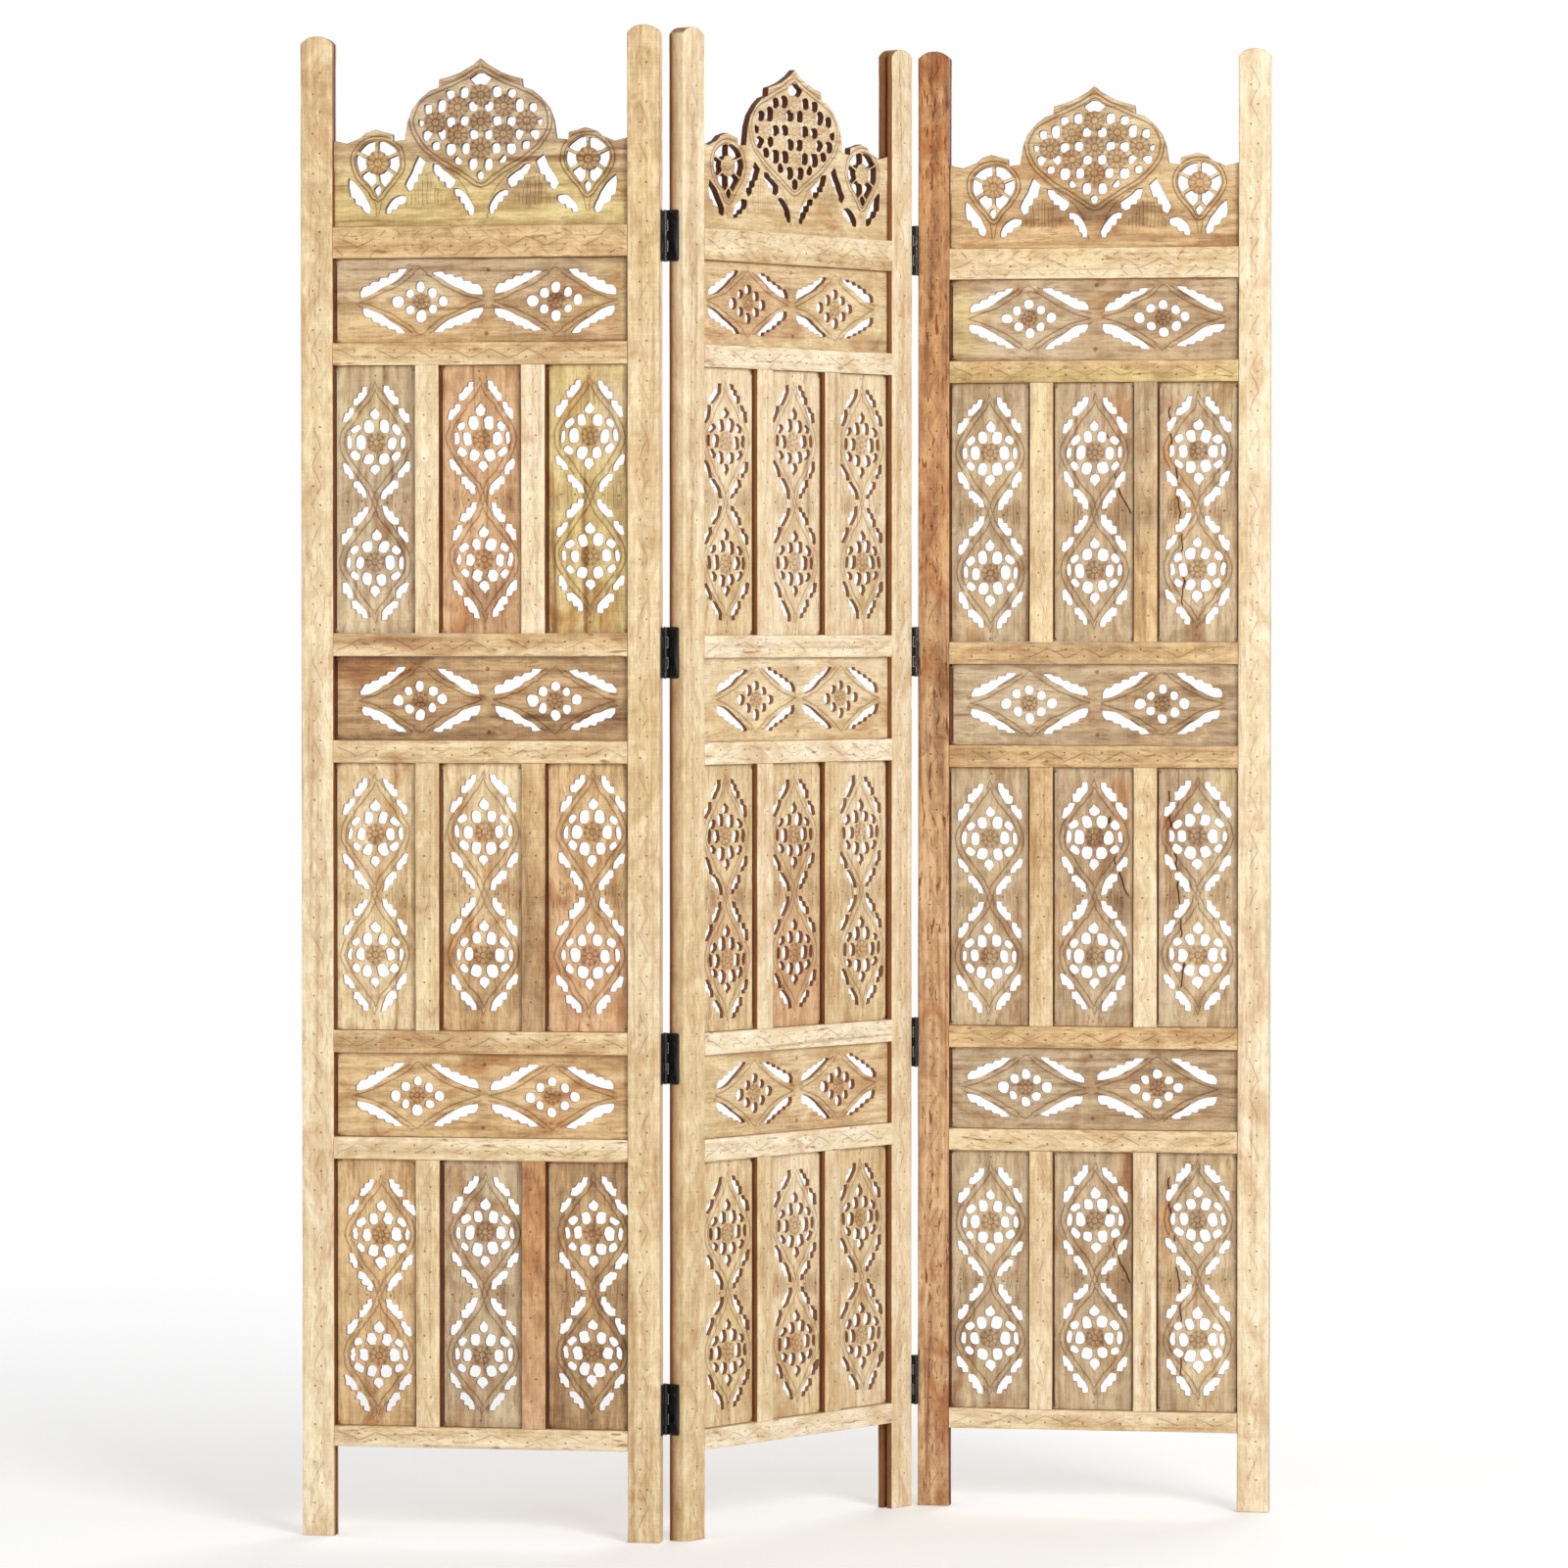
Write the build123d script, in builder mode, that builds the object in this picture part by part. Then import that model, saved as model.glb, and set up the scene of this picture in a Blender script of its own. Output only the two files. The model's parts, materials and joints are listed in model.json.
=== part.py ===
"""Folding jali screen: three framed panels of pierced boards, hinged to stand in a zigzag.

Each panel is drawn in its own plane: local X runs across the panel from its centre line, local Y
up from the floor, and local Z towards its front face from the middle of its thickness. The middle
panel stands over the origin and the outer panels are set by the hinge lines.
"""

from build123d import *
import os

# ---------------------------------------------------------------- driving dimensions (mm, degrees)
# Panel frame
panel_width = 400
stile_width = 36
stile_thickness = 22
stile_crown_width = 16  # level middle of the eased stile top ...
stile_crown_drop = 8  # ... and the fall of its shoulders
rail_thickness = 21
muntin_width = 27
muntin_thickness = 20
bottom_rail_height = 23
rail_height = 25
top_rail_height = 35
tall_opening = 293  # height between rails over a tall board
wide_opening = 92  # height between rails over a wide board
tall_columns = 3  # tall boards side by side
tier_names = ["lower", "middle", "upper"]  # each a row of tall boards with a wide board above

# Legs and stiles, with how far each panel's hand-cut ones differ
leg_length = 95  # floor to the bottom rail
leg_differences = {"left": 4, "middle": 2, "right": -6}
stile_rise = 217  # top rail to the stile's top
left_stile_differences = {"left": -5, "middle": 2, "right": 0}
right_stile_differences = {"left": 3, "middle": 1, "right": -1}

# Joinery
groove_depth = 8  # in the stiles and muntins, for the boards and tenons
board_thickness = 6
groove_play = 0.25  # each side of a board or tenon in its groove
groove_end_play = 0.5  # between a board's edge and the groove's bottom

# Rosette openings: a ring of three-sided petals about a solid boss
petal_count = 4
petal_sides = 3
tall_petal_ring = 21.5
tall_petal_radius = 12
wide_petal_ring = 17
wide_petal_radius = 7.5
crest_petal_radius = 7.5

# Tall board: two medallions, one above the other
tall_medallion_pitch = 134.5
tall_leaf_tip = (10, 62)  # leaf slit from a medallion's tip ...
tall_leaf_side = (39, 21)  # ... to its side ...
tall_leaf_back = (31, 49)  # ... and its outer corner

# Wide board: two medallions side by side
wide_medallion_pitch = 148
wide_leaf_tip = (17, 34)
wide_leaf_side = (68, 5)
wide_leaf_back = (53, 27)

# Crest outline, from its centre line outwards
crest_thickness = 9  # a heavier board, its ends rebated at the back to enter the grooves
crest_apex = 182
crest_ogee = (22, 167.5)
crest_notch = (45.5, 160)
crest_notch_drop = 10
crest_lobe = (71, 134)
crest_lobe_end = (82, 108)
crest_neck = (84, 94.5)
side_dome_inner = (98, 93)
side_dome_rise = 9
side_dome_apex = (117, 106)
side_dome_outer = (134, 97)
crest_dip = (149, 91)
crest_edge_height = 96

# Crest openings: diamonds and petals in the large medallion, a petal ring in each small one
lattice_centre = 113
diamond_sides = 4
diamond_step = (26, 16)
lattice_petal_spacing = (78, 32)
side_rosette = (118, 66)
side_petal_count = 3
side_petal_ring = 16
side_petal_start = 90  # the first petal stands at the top
crest_leaf_slits = (
    ((10, 9), (29, 39), (14, 36)),
    ((32, 41), (54, 63), (52, 44)),
    ((70, 74), (87, 35), (76, 42)),
    ((151, 43), (125, 8), (144, 16)),
)

# Butt hinges
fold_angle = 60
hinge_gap = 3.2  # between the stile edges when the panels lie flat
hinge_height = 56
hinge_centres = (144, 528, 971, 1425)  # above the floor
leaf_thickness = 1.2
leaf_reach = 15  # leaf along the stile's edge, from the knuckle side
knuckle_count = 3
knuckle_sides = 6  # the rolled knuckles and pins are drawn with flats
knuckle_radius = 3  # to the flats
pin_radius = 1.4  # to the corners
pin_play = 0.06  # between the pin's corners and the bore's flats
knuckle_play = 0.5  # between neighbouring knuckles, and from a knuckle to the other stile
pin_head = 0.6  # pin showing at each end

# ------------------------------------------------------------------------------ derived dimensions
opening_width = panel_width - 2 * stile_width
groove_width = board_thickness + 2 * groove_play
engagement = groove_depth - groove_end_play
column_width = (opening_width - (tall_columns - 1) * muntin_width) / tall_columns
column_pitch = column_width + muntin_width
pivot_depth = stile_thickness / 2 + knuckle_radius + knuckle_play
pivot_reach = (panel_width + hinge_gap) / 2
opening_heights = [tall_opening, wide_opening] * len(tier_names)
between_rails = [rail_height] * (len(opening_heights) - 1)
rail_heights = [bottom_rail_height] + between_rails + [top_rail_height]
rail_names = ["bottom", "lower", "lower_middle", "middle", "upper_middle", "upper", "top"]
stile_height = leg_length + sum(rail_heights) + sum(opening_heights) + stile_rise
knuckle_length = hinge_height / knuckle_count
leaf_inset = -hinge_gap / 2  # from the hinge line to the stile's edge


def save(piece, name):
    """Label a finished sub-part and write it to its own STEP file."""
    piece.part.label = name
    export_step(piece.part, f"parts/{name}.step")


def panel_plane(turn, pivot=None, side=0):
    """Plane of a panel turned about the vertical, with its pivot on the given side, if it has one."""
    across = Vector(1, 0, 0).rotate(Axis.Z, turn)
    facing = Vector(0, -1, 0).rotate(Axis.Z, turn)
    if pivot is None:
        return Plane((0, 0, 0), x_dir=across, z_dir=facing)
    centre = pivot - across * side * pivot_reach + facing * side * pivot_depth
    return Plane(centre, x_dir=across, z_dir=facing)


def mirrored_slit(corners):
    """Three-sided leaf slit and its mirror image across the sketch's vertical centre line."""
    with BuildSketch(mode=Mode.PRIVATE) as slit:
        with BuildLine():
            Polyline(*corners, close=True)
        make_face()
        mirror(about=Plane.YZ)
    return slit.sketch


def medallion(ring, radius, leaf_corners):
    """Openings of one medallion: a petal ring and four leaf slits about the sketch's origin."""
    with BuildSketch(mode=Mode.PRIVATE) as openings:
        with PolarLocations(ring, petal_count):
            RegularPolygon(radius, petal_sides)
        add(mirrored_slit(leaf_corners))
        mirror(about=Plane.XZ)
    return openings.sketch


os.makedirs("parts", exist_ok=True)

# ------------------------------------------------------------------------------------ panel planes
middle_plane = panel_plane(fold_angle)
left_pivot = middle_plane.from_local_coords(Vector(-pivot_reach, 0, -pivot_depth))
right_pivot = middle_plane.from_local_coords(Vector(pivot_reach, 0, pivot_depth))
planes = {
    "left": panel_plane(0, left_pivot, 1),
    "middle": middle_plane,
    "right": panel_plane(0, right_pivot, -1),
}

# ------------------------------------------------------------------------- pierced boards, flat
with BuildPart() as tall_board:
    with BuildSketch():
        Rectangle(column_width + 2 * engagement, tall_opening)
        with GridLocations(0, tall_medallion_pitch, 1, 2):
            leaf = (tall_leaf_tip, tall_leaf_side, tall_leaf_back)
            add(medallion(tall_petal_ring, tall_petal_radius, leaf), mode=Mode.SUBTRACT)
    extrude(amount=board_thickness / 2, both=True)

with BuildPart() as wide_board:
    with BuildSketch():
        Rectangle(opening_width + 2 * engagement, wide_opening)
        with GridLocations(wide_medallion_pitch, 0, 2, 1):
            leaf = (wide_leaf_tip, wide_leaf_side, wide_leaf_back)
            add(medallion(wide_petal_ring, wide_petal_radius, leaf), mode=Mode.SUBTRACT)
    extrude(amount=board_thickness / 2, both=True)

# The crest stands on the top rail: its foot is the sketch's X axis. Its face is in the plane of the
# other boards' faces, and its extra thickness stands out at the back.
crest_back = board_thickness / 2 - crest_thickness
with BuildPart() as crest_board:
    with BuildSketch(Plane.XY.offset(crest_back)):
        crest_edge = opening_width / 2 + engagement
        with BuildLine():
            notch_foot = Vector(*crest_notch) - Vector(0, crest_notch_drop)
            dome_shoulder = Vector(*side_dome_inner) + Vector(0, side_dome_rise)
            Polyline((0, crest_apex), crest_ogee, crest_notch, notch_foot)
            ThreePointArc(notch_foot, crest_lobe, crest_lobe_end)
            Polyline(crest_lobe_end, crest_neck, side_dome_inner, dome_shoulder, side_dome_apex)
            Polyline(side_dome_apex, side_dome_outer, crest_dip, (crest_edge, crest_edge_height))
            Polyline((crest_edge, crest_edge_height), (crest_edge, 0), (0, 0), (0, crest_apex))
        make_face()
        mirror(about=Plane.YZ)
        step_x, step_y = diamond_step
        with Locations((0, lattice_centre)):
            with Locations((0, step_y), (0, -step_y), (step_x, 0), (-step_x, 0)):
                RegularPolygon(crest_petal_radius, diamond_sides, mode=Mode.SUBTRACT)
            with GridLocations(*lattice_petal_spacing, 2, 2):
                RegularPolygon(crest_petal_radius, petal_sides, mode=Mode.SUBTRACT)
        with GridLocations(2 * side_rosette[0], 0, 2, 1):
            with Locations((0, side_rosette[1])):
                with PolarLocations(side_petal_ring, side_petal_count, side_petal_start):
                    RegularPolygon(crest_petal_radius, petal_sides, mode=Mode.SUBTRACT)
        for slit in crest_leaf_slits:
            add(mirrored_slit(slit), mode=Mode.SUBTRACT)
    extrude(amount=crest_thickness)
    with BuildSketch(Plane.XY.offset(crest_back)):
        with GridLocations(2 * crest_edge, 0, 2, 1):
            rebate_width = 2 * (engagement + groove_play)
            Rectangle(rebate_width, crest_apex, align=(Align.CENTER, Align.MIN))
    extrude(amount=crest_thickness - board_thickness, mode=Mode.SUBTRACT)

# ------------------------------------------------------------------------------- panels
for panel, plane in planes.items():
    # Heights of the rails' undersides and of the openings' centres, from the floor up
    rail_feet = [leg_length + leg_differences[panel]]
    opening_centres = []
    for rail_size, opening_size in zip(rail_heights, opening_heights):
        opening_foot = rail_feet[-1] + rail_size
        opening_centres.append(opening_foot + opening_size / 2)
        rail_feet.append(opening_foot + opening_size)
    tall_centres = opening_centres[0::2]
    wide_centres = opening_centres[1::2]
    rail_top = rail_feet[-1] + top_rail_height

    # Stiles: uprights with eased tops, grooved from end to end on the face towards the panel
    for side_name, side, differences in (
        ("left", -1, left_stile_differences),
        ("right", 1, right_stile_differences),
    ):
        stile_top = stile_height + differences[panel]
        shoulder = stile_top - stile_crown_drop
        outer = side * panel_width / 2
        inner = side * opening_width / 2
        crown_outer = side * (panel_width - stile_width + stile_crown_width) / 2
        crown_inner = side * (panel_width - stile_width - stile_crown_width) / 2
        with BuildPart() as stile:
            with BuildSketch(plane):
                with BuildLine():
                    Polyline(
                        (inner, 0),
                        (outer, 0),
                        (outer, shoulder),
                        (crown_outer, stile_top),
                        (crown_inner, stile_top),
                        (inner, shoulder),
                        close=True,
                    )
                make_face()
            extrude(amount=stile_thickness / 2, both=True)
            with BuildSketch(plane):
                with Locations((inner, stile_top / 2)):
                    Rectangle(2 * groove_depth, stile_top)
            extrude(amount=groove_width / 2, both=True, mode=Mode.SUBTRACT)
        save(stile, f"{panel}_panel_{side_name}_stile")

    # Rails: flush cross members with a stub tenon in each stile's groove
    for rail_name, foot, rail_size in zip(rail_names, rail_feet, rail_heights):
        with BuildPart() as rail:
            with BuildSketch(plane):
                with Locations((0, foot + rail_size / 2)):
                    Rectangle(opening_width, rail_size)
            extrude(amount=rail_thickness / 2, both=True)
            with BuildSketch(plane):
                with Locations((0, foot + rail_size / 2)):
                    Rectangle(opening_width + 2 * engagement, rail_size)
            extrude(amount=board_thickness / 2, both=True)
        save(rail, f"{panel}_panel_{rail_name}_rail")

    # Muntins: uprights between the tall boards, grooved on both sides
    with BuildPart() as muntins:
        with BuildSketch(plane):
            for centre in tall_centres:
                with Locations((0, centre)):
                    with GridLocations(column_pitch, 0, tall_columns - 1, 1):
                        Rectangle(muntin_width, tall_opening)
        extrude(amount=muntin_thickness / 2, both=True)
        with BuildSketch(plane):
            for centre in tall_centres:
                with Locations((0, centre)):
                    with GridLocations(column_pitch, 0, tall_columns, 1):
                        Rectangle(column_width + 2 * groove_depth, tall_opening)
        extrude(amount=groove_width / 2, both=True, mode=Mode.SUBTRACT)
    save(muntins, f"{panel}_panel_muntins")

    # Tall boards: one row of boards in each tier
    for tier_name, centre in zip(tier_names, tall_centres):
        with BuildPart(plane) as tall_boards:
            with Locations((0, centre)):
                with GridLocations(column_pitch, 0, tall_columns, 1):
                    add(tall_board.part)
        save(tall_boards, f"{panel}_panel_{tier_name}_tall_boards")

    # Wide boards: one between each pair of close rails
    with BuildPart(plane) as wide_boards:
        with Locations(*[(0, centre) for centre in wide_centres]):
            add(wide_board.part)
    save(wide_boards, f"{panel}_panel_wide_boards")

    # Crest: stands on the top rail, between the stiles' grooves
    with BuildPart(plane) as crest:
        with Locations((0, rail_top)):
            add(crest_board.part)
    save(crest, f"{panel}_panel_crest")

# ------------------------------------------------------------------------------------ hinges
def hinge_leaf(knuckle_places):
    """Leaf of a butt hinge drawn about its pivot, with rolled knuckles at the places given.

    X runs out of the stile's edge and Y into its thickness; places count up from the leaf's foot.
    """
    with BuildPart() as leaf:
        with BuildSketch(Plane.XY.offset(-hinge_height / 2)):
            with Locations((leaf_inset, knuckle_radius + knuckle_play)):
                Rectangle(leaf_thickness, leaf_reach, align=(Align.MIN, Align.MIN))
        extrude(amount=hinge_height)
        for place in knuckle_places:
            knuckle_foot = place * knuckle_length + knuckle_play / 2 - hinge_height / 2
            with BuildSketch(Plane.XY.offset(knuckle_foot)):
                RegularPolygon(knuckle_radius, knuckle_sides, major_radius=False)
                with Locations((leaf_inset, 0)):
                    web_reach = knuckle_radius + knuckle_play
                    Rectangle(leaf_thickness, web_reach, align=(Align.MIN, Align.MIN))
                bore = pin_radius + pin_play
                RegularPolygon(bore, knuckle_sides, major_radius=False, mode=Mode.SUBTRACT)
            extrude(amount=knuckle_length - knuckle_play)
    return leaf


def hinge_planes(pivot, out_of_edge, up):
    """Planes of one row of leaves or pins, at each hinge height of the line through the pivot."""
    return [
        Plane(pivot + Vector(0, 0, height), x_dir=out_of_edge, z_dir=(0, 0, up))
        for height in hinge_centres
    ]


two_knuckle_leaf = hinge_leaf(range(0, knuckle_count, 2))
one_knuckle_leaf = hinge_leaf(range(1, knuckle_count, 2))

with BuildPart() as hinge_pin:
    with BuildSketch(Plane.XY.offset(-hinge_height / 2 - pin_head)):
        RegularPolygon(pin_radius, knuckle_sides)
    extrude(amount=hinge_height + 2 * pin_head)

# The middle panel's leaves carry two knuckles each, and the outer panels' leaves one
middle_across = planes["middle"].x_dir
left_across = planes["left"].x_dir
right_across = planes["right"].x_dir
hinge_rows = (
    ("left_hinge_pins", hinge_pin, left_pivot, middle_across, 1),
    ("left_hinge_middle_leaves", two_knuckle_leaf, left_pivot, -middle_across, 1),
    ("left_hinge_outer_leaves", one_knuckle_leaf, left_pivot, left_across, -1),
    ("right_hinge_pins", hinge_pin, right_pivot, middle_across, 1),
    ("right_hinge_middle_leaves", two_knuckle_leaf, right_pivot, middle_across, 1),
    ("right_hinge_outer_leaves", one_knuckle_leaf, right_pivot, -right_across, -1),
)
for name, piece, pivot, out_of_edge, up in hinge_rows:
    with BuildPart() as hinge_row:
        with Locations(*hinge_planes(pivot, out_of_edge, up)):
            add(piece.part)
    save(hinge_row, name)
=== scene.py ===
"""Looks of the carved jali screen: carved and pierced boards, incised frames, hinges, wood.

Each panel is drawn in its own plane in millimetres, as in the CAD source: X across the panel from
its centre line, Y up from the floor, Z towards its front from the middle of its thickness.
"""

import json
import math
import random
from itertools import combinations, product

import bmesh
import bpy
import numpy as np
from mathutils import Matrix, Vector
from mathutils.geometry import delaunay_2d_cdt


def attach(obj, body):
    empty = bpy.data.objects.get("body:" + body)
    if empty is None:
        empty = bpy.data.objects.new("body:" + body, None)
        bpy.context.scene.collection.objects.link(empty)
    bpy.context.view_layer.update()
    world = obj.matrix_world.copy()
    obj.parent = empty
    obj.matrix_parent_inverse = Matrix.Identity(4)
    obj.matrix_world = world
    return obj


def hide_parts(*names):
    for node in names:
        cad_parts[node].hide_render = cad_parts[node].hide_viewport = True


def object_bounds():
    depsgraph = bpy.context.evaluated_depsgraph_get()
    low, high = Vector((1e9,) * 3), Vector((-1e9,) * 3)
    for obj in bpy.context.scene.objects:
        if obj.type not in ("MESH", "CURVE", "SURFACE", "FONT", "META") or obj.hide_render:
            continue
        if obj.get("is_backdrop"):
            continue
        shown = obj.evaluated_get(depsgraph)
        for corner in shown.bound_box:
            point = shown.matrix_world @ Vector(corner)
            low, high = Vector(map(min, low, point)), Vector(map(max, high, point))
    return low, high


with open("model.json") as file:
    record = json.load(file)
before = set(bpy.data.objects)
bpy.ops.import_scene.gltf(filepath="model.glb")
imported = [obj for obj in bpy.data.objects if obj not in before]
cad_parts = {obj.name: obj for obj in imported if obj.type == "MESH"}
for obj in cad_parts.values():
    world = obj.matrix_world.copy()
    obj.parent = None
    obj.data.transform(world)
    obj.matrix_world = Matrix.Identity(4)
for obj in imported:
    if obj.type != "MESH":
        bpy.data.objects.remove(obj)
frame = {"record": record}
cad_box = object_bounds()

# ------------------------------------------------------------ sizes from the CAD source (mm)
MM = 0.001
PANEL_WIDTH = 400
STILE_WIDTH = 36
STILE_THICKNESS = 22
CROWN_DROP = 8
RAIL_THICKNESS = 21
MUNTIN_WIDTH = 27
MUNTIN_THICKNESS = 20
RAIL_HEIGHTS = (23, 25, 25, 25, 25, 25, 35)
RAIL_NAMES = ("bottom", "lower", "lower_middle", "middle", "upper_middle", "upper", "top")
TALL_OPENING = 293
WIDE_OPENING = 92
TIERS = ("lower", "middle", "upper")
LEGS = {"left": 99, "middle": 97, "right": 89}
STILE_TOPS = {"left": (1645, 1653), "middle": (1652, 1651), "right": (1650, 1649)}
GROOVE_DEPTH = 8
GROOVE_WIDTH = 6.5
BOARD_THICKNESS = 6
CREST_THICKNESS = 9
BOARD_REACH = 7.5
HINGE_HEIGHT = 56
HINGE_CENTRES = (144, 528, 971, 1425)
HINGE_GAP = 3.2
LEAF_THICKNESS = 1.2
LEAF_REACH = 15
KNUCKLE_RADIUS = 3
KNUCKLE_PLAY = 0.5
PIN_RADIUS = 1.4
KNUCKLES = 5

OPENING = PANEL_WIDTH - 2 * STILE_WIDTH
COLUMN = (OPENING - 2 * MUNTIN_WIDTH) / 3
PITCH = COLUMN + MUNTIN_WIDTH
PIVOT_REACH = (PANEL_WIDTH + HINGE_GAP) / 2
PIVOT_DEPTH = STILE_THICKNESS / 2 + KNUCKLE_RADIUS + KNUCKLE_PLAY

JOINTS = {row["name"]: row["pos_m"] for row in frame["record"]["behaviour"]["joints"]}


def panel_matrix(centre, turn):
    """Matrix of a panel that stands over the centre (m), turned about the vertical (degrees)."""
    a = math.radians(turn)
    across = (math.cos(a), math.sin(a), 0)
    facing = (math.sin(a), -math.cos(a), 0)
    columns = (across, (0, 0, 1), facing, (centre[0], centre[1], 0))
    return Matrix([[c[k] for c in columns] for k in range(3)] + [[0, 0, 0, 1]])


left_pivot, right_pivot = JOINTS["left_hinge"], JOINTS["right_hinge"]
MATRICES = {
    "left": panel_matrix(
        (left_pivot[0] - PIVOT_REACH * MM, left_pivot[1] - PIVOT_DEPTH * MM), 0),
    "middle": panel_matrix((0, 0), 60),
    "right": panel_matrix(
        (right_pivot[0] + PIVOT_REACH * MM, right_pivot[1] + PIVOT_DEPTH * MM), 0),
}


# ------------------------------------------------------------ plane geometry
def array(points):
    return np.array(points, dtype=float).reshape(-1, 2)


def inside_count(points, loops):
    """How many of the closed loops each point lies in."""
    if not loops:
        return np.zeros(len(points), int)
    a = np.concatenate(loops)
    b = np.concatenate([np.roll(loop, -1, axis=0) for loop in loops])
    starts = np.cumsum([0] + [len(loop) for loop in loops[:-1]])
    rise = b[:, 1] - a[:, 1]
    rise[rise == 0] = 1e-9
    slope = (b[:, 0] - a[:, 0]) / rise
    counts = np.zeros(len(points), int)
    for k in range(0, len(points), 1500):
        x, y = points[k:k + 1500, :1], points[k:k + 1500, 1:]
        hits = ((a[:, 1] > y) != (b[:, 1] > y)) & (a[:, 0] + (y - a[:, 1]) * slope > x)
        counts[k:k + 1500] = (np.add.reduceat(hits.astype(int), starts, axis=1) % 2).sum(axis=1)
    return counts


def line_distance(points, lines):
    """Distance from each point to the nearest of the polylines."""
    best = np.full(len(points), 1e6)
    if not lines:
        return best
    a = np.concatenate([line[:-1] for line in lines])
    e = np.concatenate([line[1:] - line[:-1] for line in lines])
    length = np.maximum((e * e).sum(axis=1), 1e-9)
    for k in range(0, len(points), 1500):
        p = points[k:k + 1500, None, :] - a
        t = np.clip((p * e).sum(axis=2) / length, 0, 1)
        gap = p - t[:, :, None] * e
        best[k:k + 1500] = np.sqrt((gap * gap).sum(axis=2).min(axis=1))
    return best


def closed(loop):
    return np.vstack([loop, loop[:1]])


def resample(line, step):
    """The polyline with points about every step, its corners kept."""
    out = [line[0]]
    for a, b in zip(line[:-1], line[1:]):
        count = max(1, int(round(np.hypot(*(b - a)) / step)))
        out += [a + (b - a) * k / count for k in range(1, count + 1)]
    return array(out)


def smooth_line(points, per=4, loop=False):
    """Catmull-Rom curve through the points."""
    p = array(points)
    if loop:
        p = np.vstack([p[-1:], p, p[:2]])
    else:
        p = np.vstack([2 * p[0] - p[1], p, 2 * p[-1] - p[-2]])
    out = []
    for k in range(1, len(p) - 2):
        for t in np.arange(per) / per:
            out.append(0.5 * (2 * p[k] + (p[k + 1] - p[k - 1]) * t
                              + (2 * p[k - 1] - 5 * p[k] + 4 * p[k + 1] - p[k + 2]) * t ** 2
                              + (3 * p[k] - p[k - 1] - 3 * p[k + 1] + p[k + 2]) * t ** 3))
    if not loop:
        out.append(p[-2])
    return array(out)


def right_of(d):
    """Unit vectors to the right of the directions."""
    n = np.stack([d[..., 1], -d[..., 0]], axis=-1)
    return n / np.maximum(np.hypot(n[..., 0], n[..., 1]), 1e-9)[..., None]


def beside(line, offset):
    """The polyline moved to its right by the offset."""
    return line + right_of(np.gradient(line, axis=0)) * offset


def anticlockwise(loop):
    x, y = loop[:, 0], loop[:, 1]
    area = (x * np.roll(y, -1) - np.roll(x, -1) * y).sum()
    return loop if area > 0 else loop[::-1]


def ellipse(centre, w, h, turn=0, count=20, power=2.0):
    """Closed oval of width w and height h, squarer where power is above 2."""
    a = np.arange(count) * 2 * math.pi / count
    c, s = np.cos(a), np.sin(a)
    r = (np.abs(c) ** power + np.abs(s) ** power) ** (-1 / power)
    x, y = r * c * w / 2, r * s * h / 2
    t = math.radians(turn)
    return np.stack([x * math.cos(t) - y * math.sin(t), x * math.sin(t) + y * math.cos(t)],
                    axis=1) + centre


def scallop(centre, radius, petals, depth=0.07, per=4, phase=0.0):
    """Outline of a rosette: a round of small lobes."""
    a = np.arange(petals * per) * 2 * math.pi / (petals * per)
    r = radius * (1 - depth + depth * np.abs(np.cos(petals / 2 * (a + phase))) ** 0.7)
    return np.stack([r * np.cos(a), r * np.sin(a)], axis=1) + centre


def strut(a, b, width):
    """Rectangle of that width along a line."""
    a, b = np.array(a, dtype=float), np.array(b, dtype=float)
    n = right_of(b - a) * width / 2
    return array([a + n, b + n, b - n, a - n])


def cell(centre, w, h, turn, blocks, count=26, power=2.2):
    """Opening about a centre: an oval cut short by the rosettes, bars and rims given as loops."""
    centre = array([centre])[0]
    cap = ellipse((0, 0), w, h, turn, count, power)
    reach = np.hypot(cap[:, 0], cap[:, 1])
    d = cap / reach[:, None]
    if blocks:
        a = np.concatenate(blocks)
        e = np.concatenate([np.roll(loop, -1, axis=0) for loop in blocks]) - a
        p = a - centre
        cross = d[:, :1] * e[:, 1] - d[:, 1:] * e[:, 0]
        cross[np.abs(cross) < 1e-9] = 1e-9
        t = (p[:, 0] * e[:, 1] - p[:, 1] * e[:, 0]) / cross
        s = (p[:, 0] * d[:, 1:] - p[:, 1] * d[:, :1]) / cross
        t[(t <= 0) | (s < 0) | (s > 1)] = 1e6
        reach = np.minimum(reach, t.min(axis=1))
    return centre + d * np.maximum(reach, 0.6)[:, None]


def grown(loop, by, least=1.4):
    """Counter-clockwise loop moved outwards by a distance, less at corners sharper than least."""
    n = right_of(np.roll(loop, -1, axis=0) - loop)
    m = n + np.roll(n, 1, axis=0)
    return loop + m * (by * 2 / np.maximum((m * m).sum(axis=1), least))[:, None]


def scalloped(corners, bulge):
    """Closed loop whose sides bow outwards by these shares of their length, as a chisel leaves."""
    p = anticlockwise(array(corners))
    out = []
    for a, b, share in zip(p, np.roll(p, -1, axis=0), bulge):
        d = b - a
        n = np.array([d[1], -d[0]])
        out += [a, a + d * 0.3 + n * share * 0.84, a + d * 0.7 + n * share * 0.84]
    return array(out)


# ------------------------------------------------------------ carving
STEP_SLOPE = 0.4  # width of the slope down to the shadow gap at a board's end
ROSETTE_RINGS = (0.1, 0.22, 0.3, 0.36, 0.42, 0.56, 0.72, 0.86, 1.0)  # shares of its radius
DOT_RINGS = (0.5, 1.0)


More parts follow.
